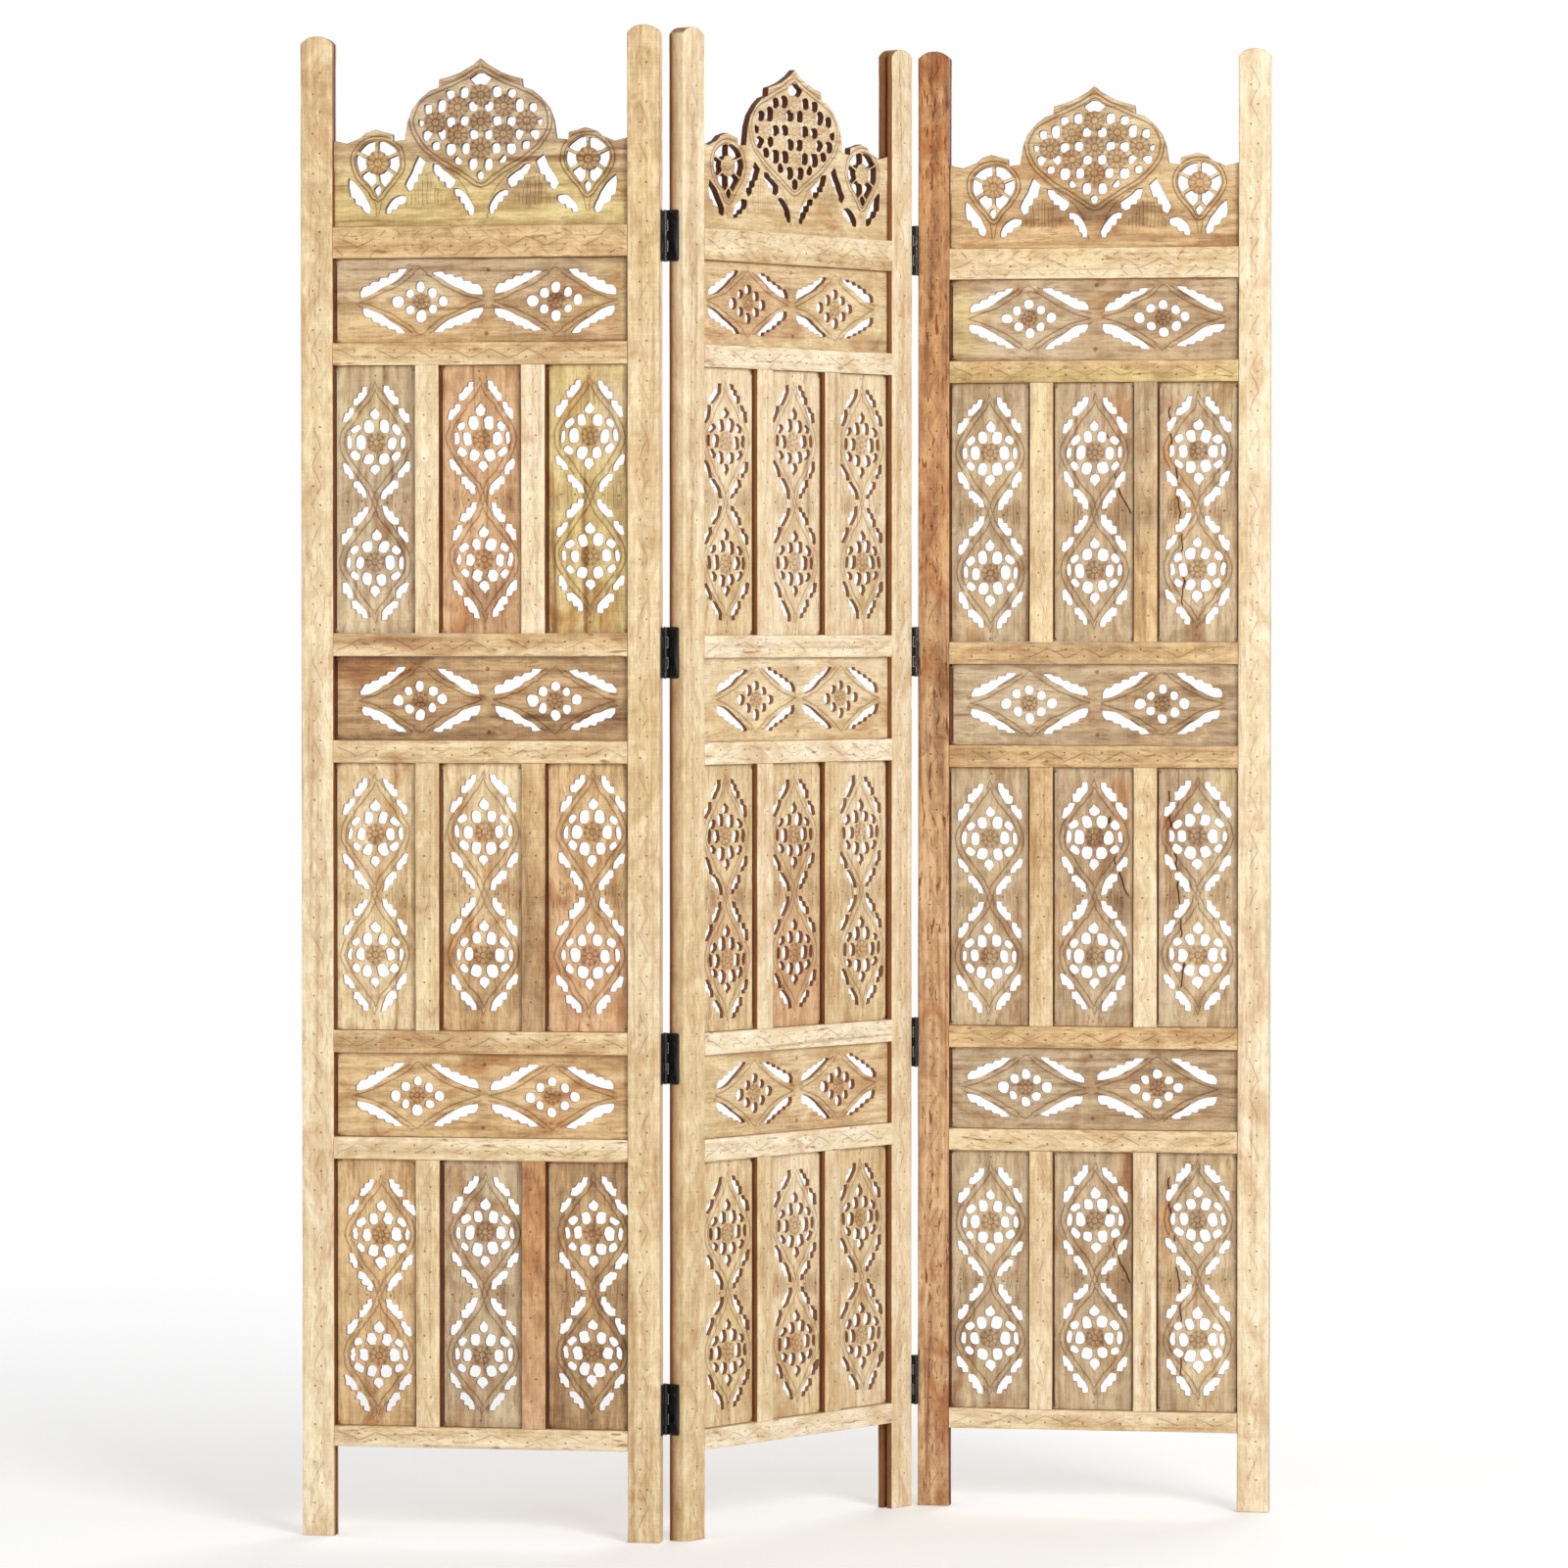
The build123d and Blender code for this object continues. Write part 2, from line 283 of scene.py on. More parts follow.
class Carving:
    """Openings, incised lines, rosettes and punch marks of one board or member, in mm."""

    def __init__(self, name):
        self.rng = random.Random(name)
        self.holes, self.lines, self.rosettes, self.dots, self.steps = [], [], [], [], []
        self.waves = [(self.rng.uniform(40, 110), self.rng.uniform(-110, 110),
                       self.rng.uniform(0, 6.3), self.rng.uniform(0.2, 0.6)) for _ in range(6)]

    def hole(self, loop, loose=1.0, wider=0.45):
        """An opening, cut a little off its mark and a little wider than it."""
        loop = anticlockwise(array(loop))
        r = self.rng
        middle = loop.mean(axis=0)
        a = math.radians(r.uniform(-5, 5) * loose)
        grow = 1 + r.uniform(-0.08, 0.07) * loose
        turn = np.array([[math.cos(a), math.sin(a)], [-math.sin(a), math.cos(a)]])
        loop = (loop - middle) @ turn * grow + middle
        loop = loop + (r.uniform(-0.7, 0.7) * loose, r.uniform(-0.7, 0.7) * loose)
        self.holes.append(grown(loop, wider))

    def line(self, points, half, depth, shade_and_dirt):
        self.lines.append((array(points), half, depth, shade_and_dirt))

    def trace(self, path, step, half, depth, shade_and_dirt=0.8, offsets=(0,)):
        """Incised lines beside a path, with points about every step."""
        for offset in offsets:
            self.line(resample(beside(path, offset), step), half, depth, shade_and_dirt)

    def rosette(self, centre, radius, petals, stain):
        phase = self.rng.uniform(0, 6.3)
        self.rosettes.append((array([centre])[0], radius, petals, phase, stain))

    def dot(self, centre, radius, depth):
        self.dots.append((array([centre])[0], radius, depth))

    def change(self, by):
        """Puts every mark where the function of its points says."""
        self.holes = [by(loop) for loop in self.holes]
        for marks in (self.lines, self.rosettes, self.dots):
            marks[:] = [(by(row[0]), *row[1:]) for row in marks]

    def move(self, dx, dy, stretch, slant=0.0):
        """Shifts the whole pattern, after stretching and slanting it about the board's middle."""
        self.change(lambda p: p * stretch + (dx, dy) + p[..., 1:] * (slant, 0))

    def stray(self, fade):
        """Moves the pattern as a hand-drawn one strays from its template, where fade lets it."""
        def wander(points):
            p = array(points)
            move = np.zeros_like(p)
            for k, (lx, ly, phase, size) in enumerate(self.waves):
                move[:, k % 2] += size * np.sin(2 * math.pi * (p[:, 0] / lx + p[:, 1] / ly) + phase)
            return (p + move * fade(p)[:, None]).reshape(points.shape)
        self.change(wander)


def relief(carving, points, lines):
    """Height above its plane of the carved face, its painted shade and grime, and its stain, at the
    points.
    """
    height = np.zeros(len(points))
    shade_and_dirt = np.zeros(len(points))
    stain = np.zeros(len(points))
    for cut in sorted({row[1:] for row in lines}):
        half, depth, soil_and_shade = cut
        near = line_distance(points, [row[0] for row in lines if row[1:] == cut])
        height = np.minimum(height, -depth * np.clip(1 - near / half, 0, 1))
        # Painted shade and grime along the incised lines, fading over their lips
        shade_and_dirt = np.maximum(shade_and_dirt, np.clip(1.15 - near / half, 0, 1) * soil_and_shade)
    for centre, radius, petals, phase, tone in carving.rosettes:
        d = points - centre
        r = np.hypot(d[:, 0], d[:, 1]) / radius
        on = r < 1.02
        if not on.any():
            continue
        r, a = r[on], np.arctan2(d[on, 1], d[on, 0])
        petal = np.abs(np.sin(petals / 2 * (a + phase)))
        button = 0.45 * (1 - (r / 0.3) ** 2) - 1.2 * np.exp(-(r / 0.1) ** 2)
        leaf = -1.05 * (1 - petal ** 0.7) + 0.3 * np.sin(math.pi * np.clip((r - 0.4) / 0.6, 0, 1))
        leaf -= 0.55 * np.clip((r - 0.5) / 0.5, 0, 1) ** 1.5
        ring = -0.95 * np.exp(-((r - 0.36) / 0.06) ** 2)
        height[on] = np.where(r < 0.3, button, leaf * np.clip((r - 0.3) / 0.12, 0, 1)) + ring
        # Painted shade in the rosette's hollows, darker where deeper, stronger where it is stained
        shade_and_dirt[on] = np.clip(-height[on] * 0.7, 0, 1) * (0.35 + 0.65 * tone)
        stain[on] = tone
    for centre, radius, depth in carving.dots:
        r = np.hypot(points[:, 0] - centre[0], points[:, 1] - centre[1]) / radius
        on = r < 1.05
        sunk = np.where(r < 0.5, 0.35 + 1.3 * r, np.clip((1 - r) * 2, 0, 1))
        height = np.where(on, -depth * np.clip(sunk, 0, 1), height)
        # Painted shade and grime in the punch mark's hollow
        shade_and_dirt = np.where(on, np.maximum(shade_and_dirt, sunk), shade_and_dirt)
    for side, place, depth in carving.steps:
        beyond = np.clip((points[:, 0] * side - place) / STEP_SLOPE, 0, 1)
        height -= beyond * depth
        # Painted shadow on the floor of the shadow gap
        shade_and_dirt = np.maximum(shade_and_dirt, beyond * 1.15)
    return height, shade_and_dirt, stain


def runs(line, allowed):
    """The stretches of a polyline whose points are allowed."""
    out, run = [], []
    for p, ok in zip(line, allowed):
        if ok:
            run.append(p)
        elif run:
            out.append(run)
            run = []
    out.append(run)
    return [array(run) for run in out if len(run) > 1]


def slab(outline, carving, step, rings, face_z, shade, groove=None):
    """Solid sheet with the carving's openings and relief on both faces.

    rings are (outset, height, cut, grooved) of the wall round each edge, from the front face to
    the back: outset runs away from the material, cut says how much the wall shows sawn wood and
    painted shade, and grooved holds the ring between the two x places of the groove.
    """
    rng = np.random.default_rng(carving.rng.getrandbits(32))
    outline = anticlockwise(outline)
    holes = carving.holes
    edges = [closed(loop) for loop in [outline, *holes]]
    rosettes = [row[:2] for row in carving.rosettes]
    dots = [row[:2] for row in carving.dots]
    low, high = outline.min(axis=0), outline.max(axis=0)

    def on_wood(points):
        return (inside_count(points, [outline]) > 0) & (inside_count(points, holes) == 0)

    # Lines to mesh along: each incised line's bottom and its two lips, and the shadow gaps
    lines, bottoms = [], []
    for line, *cut in carving.lines:
        for offset in (-cut[0], 0, cut[0]):
            side = beside(line, offset)
            ok = on_wood(side) & (line_distance(side, edges) > 0.55)
            for marks, gap in ((rosettes, 0.5), (dots, 0.3)):
                for centre, radius in marks:
                    ok &= np.hypot(*(side - centre).T) > radius + gap
            lines += runs(side, ok)
            if offset == 0:
                bottoms += [(run, *cut) for run in runs(side, ok)]
    for side, place, _ in carving.steps:
        for x in (side * place, side * (place + STEP_SLOPE)):
            path = resample(array(((x, low[1] + 0.3), (x, high[1] - 0.3))), 6)
            lines += runs(path, line_distance(path, edges) > 0.5)

    # Points to mesh through: rings in the rosettes and punch marks, and a loose grid elsewhere
    spots = [np.zeros((0, 2))]
    marks = [(centre, radius, petals * 4, -phase, ROSETTE_RINGS)
             for centre, radius, petals, phase, _ in carving.rosettes]
    marks += [(*dot, 8, 0, DOT_RINGS) for dot in dots]
    for centre, radius, count, phase, shares in marks:
        a = np.arange(count) * 2 * math.pi / count + phase
        turn = np.stack([np.cos(a), np.sin(a)], axis=1)
        spots += [centre + radius * share * turn[::2 if share < 0.25 else 1] for share in shares]
        spots.append(centre[None])
    spots = np.concatenate(spots)
    spots = spots[on_wood(spots)]
    spots = spots[line_distance(spots, edges) > 0.3]
    across = np.arange(low[0] + step / 2, high[0], step)
    up = np.arange(low[1] + step / 2, high[1], step)
    fill = np.stack(np.meshgrid(across, up), axis=-1).reshape(-1, 2)
    fill[:, 0] += ((fill[:, 1] / step).astype(int) % 2) * step / 2
    fill += rng.uniform(-0.2, 0.2, fill.shape) * step
    fill = fill[on_wood(fill)]
    fill = fill[line_distance(fill, edges) > 0.32 * step]
    fill = fill[line_distance(fill, lines) > 0.26 * step]
    for centre, radius in rosettes + dots:
        fill = fill[np.hypot(*(fill - centre).T) > radius + 0.8]

    points, links = [], []
    for k, path in enumerate([outline, *holes, *lines]):
        start = len(points)
        points += list(path)
        links += [(k, k + 1) for k in range(start, len(points) - 1)]
        if k <= len(holes):
            links.append((len(points) - 1, start))
    points += list(spots) + list(fill)
    made = delaunay_2d_cdt([Vector(p) for p in points], links, [], 0, 1e-4, False)
    flat = array([tuple(v) for v in made[0]])
    tris = np.array(made[2], dtype=int)
    keep = on_wood(flat[tris].mean(axis=1))
    a, b, c = (flat[tris[:, k]] for k in range(3))
    area = (b[:, 0] - a[:, 0]) * (c[:, 1] - a[:, 1]) - (b[:, 1] - a[:, 1]) * (c[:, 0] - a[:, 0])
    tris[area < 0] = tris[area < 0][:, ::-1]
    tris = tris[keep & (np.abs(area) > 1e-7)]
    used = np.unique(tris)
    index = np.full(len(flat), -1)
    index[used] = np.arange(len(used))
    flat, tris = flat[used], index[tris]
    count = len(flat)

    # Boundary edges, the material on their left, and the way out at their points
    sides = np.concatenate([tris[:, [0, 1]], tris[:, [1, 2]], tris[:, [2, 0]]])
    sides = sides[~np.isin(sides[:, 0] * count + sides[:, 1], sides[:, 1] * count + sides[:, 0])]
    n = right_of(flat[sides[:, 1]] - flat[sides[:, 0]])
    out = np.zeros_like(flat)
    np.add.at(out, sides[:, 0], n)
    np.add.at(out, sides[:, 1], n)
    edge = np.unique(sides)
    m = out[edge]
    out = m * (2 / np.maximum((m * m).sum(axis=1), 1e-3))[:, None]
    long = np.hypot(*out.T)
    out *= (np.minimum(long, 1.6) / np.maximum(long, 1e-9))[:, None]

    height, shade_and_dirt, stain = relief(carving, flat, bottoms)
    sag = 0.12 * np.sin(flat[:, 0] / 23 + 1.7) * np.sin(flat[:, 1] / 31 + face_z) - 0.12
    top = face_z + height + sag
    shells = [np.column_stack([flat, top]), np.column_stack([flat, -top])]
    cuts, shades_and_dirts, stains = [np.zeros(count)] * 2, [shade_and_dirt] * 2, [stain] * 2
    for outset, z, cut, grooved in rings:
        place = flat[edge] + out * outset
        if grooved:
            place[:, 0] = np.clip(place[:, 0], *groove)
        share = min(abs(z) / face_z, 1) ** 6  # of the face's relief that the ring follows
        sunk = share * (height + sag)[edge] * (1 if z > 0 else -1)
        shells.append(np.column_stack([place, z + sunk]))
        cuts.append(np.full(len(edge), float(cut)))
        shades_and_dirts.append(np.zeros(len(edge)))
        stains.append(stain[edge] * 0.5)
    where = np.full(count, -1)
    where[edge] = np.arange(len(edge))
    rows = [np.arange(count)]
    rows += [2 * count + k * len(edge) + where for k in range(len(rings))]
    rows.append(rows[0] + count)
    a, b = sides.T
    walls = [np.stack([upper[b], upper[a], lower[a], lower[b]], axis=1)
             for upper, lower in zip(rows[:-1], rows[1:])]
    verts = np.concatenate(shells)
    values = {"cut": np.concatenate(cuts), "carve": np.concatenate(shades_and_dirts),
              "stain": np.concatenate(stains), **shade(verts)}
    return verts, [f.tolist() for f in (tris, tris[:, ::-1] + count, *walls)], values


class Piece:
    """Collects the shells of one object."""

    def __init__(self):
        self.verts, self.faces, self.values, self.count = [], [], {}, 0

    def add(self, shell, shift=(0, 0, 0)):
        verts, face_groups, values = shell
        for group in face_groups:
            self.faces += [[k + self.count for k in face] for face in group]
        self.verts.append(verts + shift)
        for key, value in values.items():
            self.values.setdefault(key, []).append(value)
        self.count += len(verts)

    def build(self, name, matrix, body, slot, node, merge=False, sharp=28):
        """The object, riding on the body in place of the node, its slot's material on it."""
        verts = np.concatenate(self.verts) * MM
        mesh = bpy.data.meshes.new(name)
        mesh.from_pydata(verts.tolist(), [], self.faces)
        for key, parts in self.values.items():
            value = np.concatenate(parts)
            kind, field = ("FLOAT", "value") if value.ndim == 1 else ("FLOAT_VECTOR", "vector")
            mesh.attributes.new(key, kind, "POINT").data.foreach_set(field, value.reshape(-1))
        if merge:
            bm = bmesh.new()
            bm.from_mesh(mesh)
            bmesh.ops.remove_doubles(bm, verts=bm.verts, dist=2e-6)
            bmesh.ops.dissolve_degenerate(bm, edges=bm.edges, dist=1e-6)
            bm.to_mesh(mesh)
            bm.free()
        mesh.shade_smooth()
        mesh.set_sharp_from_angle(angle=math.radians(sharp))
        mesh.materials.append(MATERIALS[slot])
        piece = bpy.data.objects.new(name, mesh)
        bpy.context.collection.objects.link(piece)
        piece.matrix_world = matrix
        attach(piece, body)
        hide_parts(node)


# ------------------------------------------------------------ wood tints
def linear(colour):
    """Linear colour of an sRGB one of 0 to 255."""
    c = np.array(colour, dtype=float) / 255
    return np.where(c <= 0.04045, c / 12.92, ((c + 0.055) / 1.055) ** 2.4)


TINTS = {tint: (linear(pale), linear(deep)) for tint, pale, deep in (  # pale and deep wood
    ("ivory", (252, 241, 214), (230, 209, 172)),
    ("cream", (247, 232, 200), (214, 186, 142)),
    ("straw", (239, 219, 177), (194, 160, 112)),
    ("honey", (228, 197, 148), (170, 131, 84)),
    ("olive", (226, 204, 144), (170, 139, 84)),
    ("pink", (225, 187, 144), (171, 126, 86)),
    ("rust", (208, 158, 106), (138, 88, 52)),
    ("grey", (213, 192, 158), (160, 133, 100)),
    ("brown", (198, 163, 118), (126, 93, 62)),
    ("dark", (146, 108, 70), (84, 56, 34)),
)}


def shader_of(name, low_tint, high_tint, box, along, spots=(), figured=0.5, flecks=0.5):
    """Function that gives each vertex of a piece its wood colours and its place in the grain.

    spots are patches of another tint: (x, y, half width, half height, tint, strength).
    """
    rng = random.Random("wood " + name)
    shift = [rng.uniform(-40, 40) for _ in range(3)]
    phase = rng.uniform(0, 6.3)
    y0, y1 = box
    low, high = TINTS[low_tint], TINTS[high_tint]

    def shade(verts):
        t = (verts[:, 1] - y0) / (y1 - y0)
        t = t + 0.12 * np.sin(verts[:, 0] / 17 + phase)
        t = t + 0.08 * np.sin(verts[:, 1] / 29 + phase * 2)
        t = np.clip((np.clip(t, 0, 1) - 0.2) * 1.67, 0, 1)[:, None]
        pale = low[0] * (1 - t) + high[0] * t
        deep = low[1] * (1 - t) + high[1] * t
        for x, y, rx, ry, tint, strength in spots:
            bend = 0.2 * np.sin(verts[:, 1] / 7 + phase) + 0.15 * np.sin(verts[:, 0] / 5 + phase)
            r = np.hypot((verts[:, 0] - x) / rx, (verts[:, 1] - y) / ry) + bend
            k = (np.clip(1.3 - r, 0, 1) * strength)[:, None]
            pale = pale * (1 - k) + TINTS[tint][0] * k
            deep = deep * (1 - k) + TINTS[tint][1] * k
        return {
            "pale": pale,
            "deep": deep,
            "shift": np.tile(shift, (len(verts), 1)),
            "along": np.full(len(verts), float(along)),
            "figured": np.full(len(verts), float(figured)),
            "flecks": np.full(len(verts), float(flecks)),
        }
    return shade


# ------------------------------------------------------------ wood shader
class Graph:
    """A node tree with short calls for its nodes."""

    def __init__(self, tree):
        self.tree = tree

    def plug(self, socket, value):
        if isinstance(value, bpy.types.NodeSocket):
            self.tree.links.new(value, socket)
        else:
            socket.default_value = value

    def node(self, kind, inputs=(), output=0, **settings):
        node = self.tree.nodes.new(kind)
        for key, value in settings.items():
            setattr(node, key, value)
        for key, value in dict(inputs).items():
            self.plug(node.inputs[key], value)
        return node.outputs[output]

    def math(self, operation, a, b=0.0, c=0.0, clamp=False):
        return self.node("ShaderNodeMath", {0: a, 1: b, 2: c}, operation=operation, use_clamp=clamp)

    def vector(self, operation, a, b):
        return self.node("ShaderNodeVectorMath", {0: a, 1: b}, operation=operation)

    def attribute(self, name, output=2):
        """A vertex attribute as a number, or as a vector from output 1."""
        return self.node("ShaderNodeAttribute", attribute_name=name, output=output)

    def mix(self, factor, a, b, blend="MIX"):
        return self.node("ShaderNodeMix", {0: factor, 6: a, 7: b}, output=2, data_type="RGBA",
                         blend_type=blend)

    def noise(self, vector, stretch, detail=3.0, rough=0.55, distortion=0.0):
        scaled = self.vector("MULTIPLY", vector, stretch)
        return self.node("ShaderNodeTexNoise", {"Vector": scaled, "Scale": 1.0, "Detail": detail,
                                                "Roughness": rough, "Distortion": distortion})

    def ramp(self, value, low, high, to_low=0.0, to_high=1.0):
        return self.node("ShaderNodeMapRange", {0: value, 1: low, 2: high, 3: to_low, 4: to_high},
                         clamp=True)

    def bump(self, height, strength, distance):
        return self.node("ShaderNodeBump", {"Height": height, "Strength": strength,
                                            "Distance": distance})


def material_graph(name):
    """A new material, its graph and its shader's sockets."""
    material = bpy.data.materials.new(name)
    material.use_nodes = True
    return material, Graph(material.node_tree), material.node_tree.nodes["Principled BSDF"].inputs


def rgb(colour):
    return (*linear(colour), 1)


GRAIN = {  # noises: waves per metre across and along the grain, detail, roughness, distortion
    "drift": (9.0, 1.3, 2.0, 0.5, 0.4),
    "figure": (26.0, 4.2, 4.0, 0.65, 0.8),
    "fine": (360.0, 12.0, 4.0, 0.65),
    "hair": (1500.0, 70.0, 2.0, 0.6),
    "fleck": (260.0, 42.0, 3.0, 0.6, 0.3),
    "mottle": (46.0, 24.0, 4.0, 0.68, 1.0),
    "broad": (16.0, 8.0, 4.0, 0.62, 1.2),
    "streak": (70.0, 2.0, 3.0, 0.62, 0.9),
    "saw": (30.0, 700.0, 2.0, 0.5),
}


def wood(name, roughness, stained):
    """Waxed mango wood: figure, streaks, spalted patches, pores, and grime and painted shade in the
    cuts and on sawn walls.
    """
    material, g, shader = material_graph(name)
    place = g.node("ShaderNodeTexCoord", output=3)
    x, y, z = (g.node("ShaderNodeSeparateXYZ", {0: place}, output=k) for k in range(3))
    along = g.attribute("along")
    turn = g.math("SUBTRACT", 1.0, along)
    u, v = (g.math("ADD", g.math("MULTIPLY", a, turn), g.math("MULTIPLY", b, along))
            for a, b in ((x, y), (y, x)))
    grain = g.node("ShaderNodeCombineXYZ", {0: u, 1: v, 2: z})
    grain = g.vector("ADD", grain, g.attribute("shift", 1))
    drift, figure, fine, hair, fleck, mottle, broad, streak, saw = (
        g.noise(grain, (across, length, across), *rest) for across, length, *rest in GRAIN.values())
    figured, flecks = g.attribute("figured"), g.attribute("flecks")

    whole = g.node("ShaderNodeSeparateXYZ", {0: grain})
    wave = g.math("SINE", g.math("ADD", g.math("MULTIPLY", whole, 330.0),
                                 g.math("MULTIPLY", drift, 46.0)))
    wave = g.math("MULTIPLY", wave, g.math("MULTIPLY_ADD", figured, 0.2, 0.02))
    tone = g.math("ADD", wave, 0.6)
    for noise, gain in ((figure, 1.4), (mottle, 2.1), (fine, 1.3), (saw, 0.5)):
        tone = g.math("ADD", tone, g.math("MULTIPLY_ADD", noise, gain, -gain / 2),
                      clamp=noise is saw)
    colour = g.mix(tone, g.attribute("deep", 1), g.attribute("pale", 1))

    def share(noise, low, high, of, times, more=0.0):
        """Where a noise passes from low to high, as strong as an attribute of the piece says."""
        return g.math("MULTIPLY", g.ramp(noise, low, high), g.math("MULTIPLY_ADD", of, times, more))
    pores = g.ramp(hair, 0.58, 0.72)
    cut, carve, stain = (g.attribute(key) for key in ("cut", "carve", "stain"))
    for factor, tint in (
        (g.ramp(broad, 0.52, 0.7, 0.0, 0.3), (240, 221, 178)),  # yellower patches
        (share(broad, 0.48, 0.34, figured, 0.7, 0.2), (212, 170, 124)),  # browner patches
        (share(streak, 0.57, 0.7, figured, 0.8, 0.1), (168, 120, 76)),
        (g.math("MULTIPLY", share(fleck, 0.56, 0.67, flecks, 0.8), g.ramp(mottle, 0.38, 0.58)),
         (164, 114, 68)),
        (g.math("MULTIPLY", pores, 0.5), (134, 96, 60)),
        (g.math("MULTIPLY", stain, stained, clamp=True), (196, 152, 112)),  # rosettes
        (g.math("MULTIPLY", carve, 0.8, clamp=True), (136, 92, 56)),  # painted shade and grime in the incised lines, hollows and shadow gaps
        (g.math("MULTIPLY", cut, 0.85, clamp=True), (158, 108, 66)),  # sawn end grain and painted shade on the walls
        (g.math("SUBTRACT", cut, 1.0, clamp=True), (128, 90, 62)),  # more painted shade on the deepest of them
    ):
        colour = g.mix(factor, colour, rgb(tint), "MULTIPLY")
    g.plug(shader["Base Color"], colour)
    rough = g.math("MULTIPLY_ADD", fine, 0.3, roughness - 0.15)
    g.plug(shader["Roughness"], g.math("ADD", rough, g.math("MULTIPLY", carve, 0.15), clamp=True))
    g.plug(shader["Specular IOR Level"], 0.35)
    lift = g.math("SUBTRACT", g.math("MULTIPLY", fine, 0.7), g.math("MULTIPLY", pores, 0.8))
    lift = g.math("ADD", lift, g.math("MULTIPLY", saw, 0.4))
    g.plug(shader["Normal"], g.bump(lift, 0.35, 0.0004))
    return material


def steel(name, colour, worn, roughness, metal, wear_low):
    """Lacquered or bare metal, worn to a brighter tone in patches and on its knuckles."""
    material, g, shader = material_graph(name)
    place = g.node("ShaderNodeTexCoord", output=3)
    speck = g.noise(place, (420.0, 420.0, 420.0), 4.0, 0.6)
    smear = g.noise(place, (90.0, 90.0, 30.0), 3.0, 0.6)
    rub = g.math("ADD", g.math("MULTIPLY", speck, 0.5), g.math("MULTIPLY", smear, 0.5))
    rub = g.math("ADD", rub, g.math("MULTIPLY", g.attribute("rub"), 0.12))
    wear = g.ramp(rub, wear_low, wear_low + 0.08)
    g.plug(shader["Base Color"], g.mix(wear, rgb(colour), rgb(worn)))
    g.plug(shader["Metallic"], g.ramp(wear, 0.0, 1.0, metal, 1.0))
    g.plug(shader["Roughness"], g.math("MULTIPLY_ADD", speck, 0.25, roughness - 0.1))
    g.plug(shader["Normal"], g.bump(speck, 0.2, 0.0002))
    return material


MATERIALS = {
    "frame_wood": wood("frame_wood", 0.55, 0.4),
    "jali_wood": wood("jali_wood", 0.6, 0.55),
    "hinge_steel": steel("hinge_steel", (24, 24, 24), (112, 108, 102), 0.34, 0.2, 0.66),
    "pin_steel": steel("pin_steel", (150, 146, 138), (196, 190, 180), 0.35, 1.0, 0.5),
}

# ------------------------------------------------------------ board patterns
SIGNS = (1, -1)
BAND_CUT = (1.25, 0.75, 0.74)  # half width, depth, and painted shade with grime of the lines of a board's bands
EDGE_CUT = (1.2, 0.75, 1.0)  # the same of the rim of a crest's large medallion
SIDE_CUT = (1.15, 0.75, 1.0)  # and of its small ones
TALL_BAND = ((0, 66.5), (3, 58.5), (7, 50.5), (13, 43), (18.2, 36.8), (22.8, 30), (28, 22.5),
             (33, 15), (36.5, 7.5), (37.8, 0))
TALL_INNER_LEAF = ((8.2, 62.5), (14, 62), (15.2, 57), (20, 56), (21, 50.6), (25.4, 49.4),
                   (25.6, 42.4), (19.6, 42), (13.4, 48.4), (9, 55))
TALL_OUTER_LEAF = ((25, 38.9), (31.2, 38.4), (32.4, 33.8), (36.8, 32.4), (38, 22.6), (34.2, 21.6),
                   (29, 27.4), (25.4, 33.4))
WIDE_BAND = ((0, 35.6), (8, 30.9), (16.4, 25.6), (24.6, 20), (34.8, 14.2), (46, 9), (57.4, 4.8),
             (67.6, 1.9), (74, 0))
WIDE_LEAF = ((15.6, 33.4), (25.6, 33.8), (27.4, 30.4), (35, 30), (37.2, 26.2), (44.4, 26),
             (46.6, 22.2), (53.6, 21.6), (55.8, 17.8), (62.2, 17.2), (66, 12), (66, 7.6),
             (57.5, 8.4), (49.7, 10.9), (42, 15.1), (34.2, 20.1), (26.4, 25), (20, 29.2))
TALL_DROP = ((0, 38.8), (-3, 35), (-6, 32.2), (-6.2, 29.2), (-4.4, 26), (0, 24.2), (4.4, 26),
             (6.2, 29.2), (6, 32.2), (3, 35))
TALL_CELLS = ((8.6, 17.7, 12.2, 14.2, -8), (-8.6, 17.7, 11.6, 14, 8), (17.6, 0, 11.6, 15.2, 0),
              (-17.2, 0, 11.2, 15.2, 0), (8.8, -17.8, 12.6, 14, 12), (-8.6, -18, 12.4, 13.8, -12))
TALL_OUTER_CELLS = ((23.5, 14.2, 12, 8.6, -38), (-23.2, 14.2, 12, 8.4, 38), (30, 0.4, 6.2, 14, 0),
                    (-29.8, 0.4, 6.2, 14, 0), (23.2, -14.4, 12, 8.6, 40),
                    (-23, -14.6, 11.6, 8.6, -40))
WIDE_CELLS = ((0, 15.4, 10.8, 11.4), (0, -16.4, 11.2, 12), (12.9, 9.2, 10, 10.6),
              (-12.9, 9.6, 10, 10.6), (12.9, -9.2, 10, 10.4), (-12.9, -9.4, 10.2, 10.6),
              (-25, -0.6, 12.8, 12.6), (24.2, 0.4, 11.4, 11.6))
BOW = 0.035
BOW_RNG = random.Random("leaf sides")


def leaf_loop(corners, mirror):
    """A stepped leaf, its sides bowed outwards, each a little differently."""
    return scalloped(corners, [BOW * BOW_RNG.uniform(0.1, 1.2) for _ in corners]) * mirror


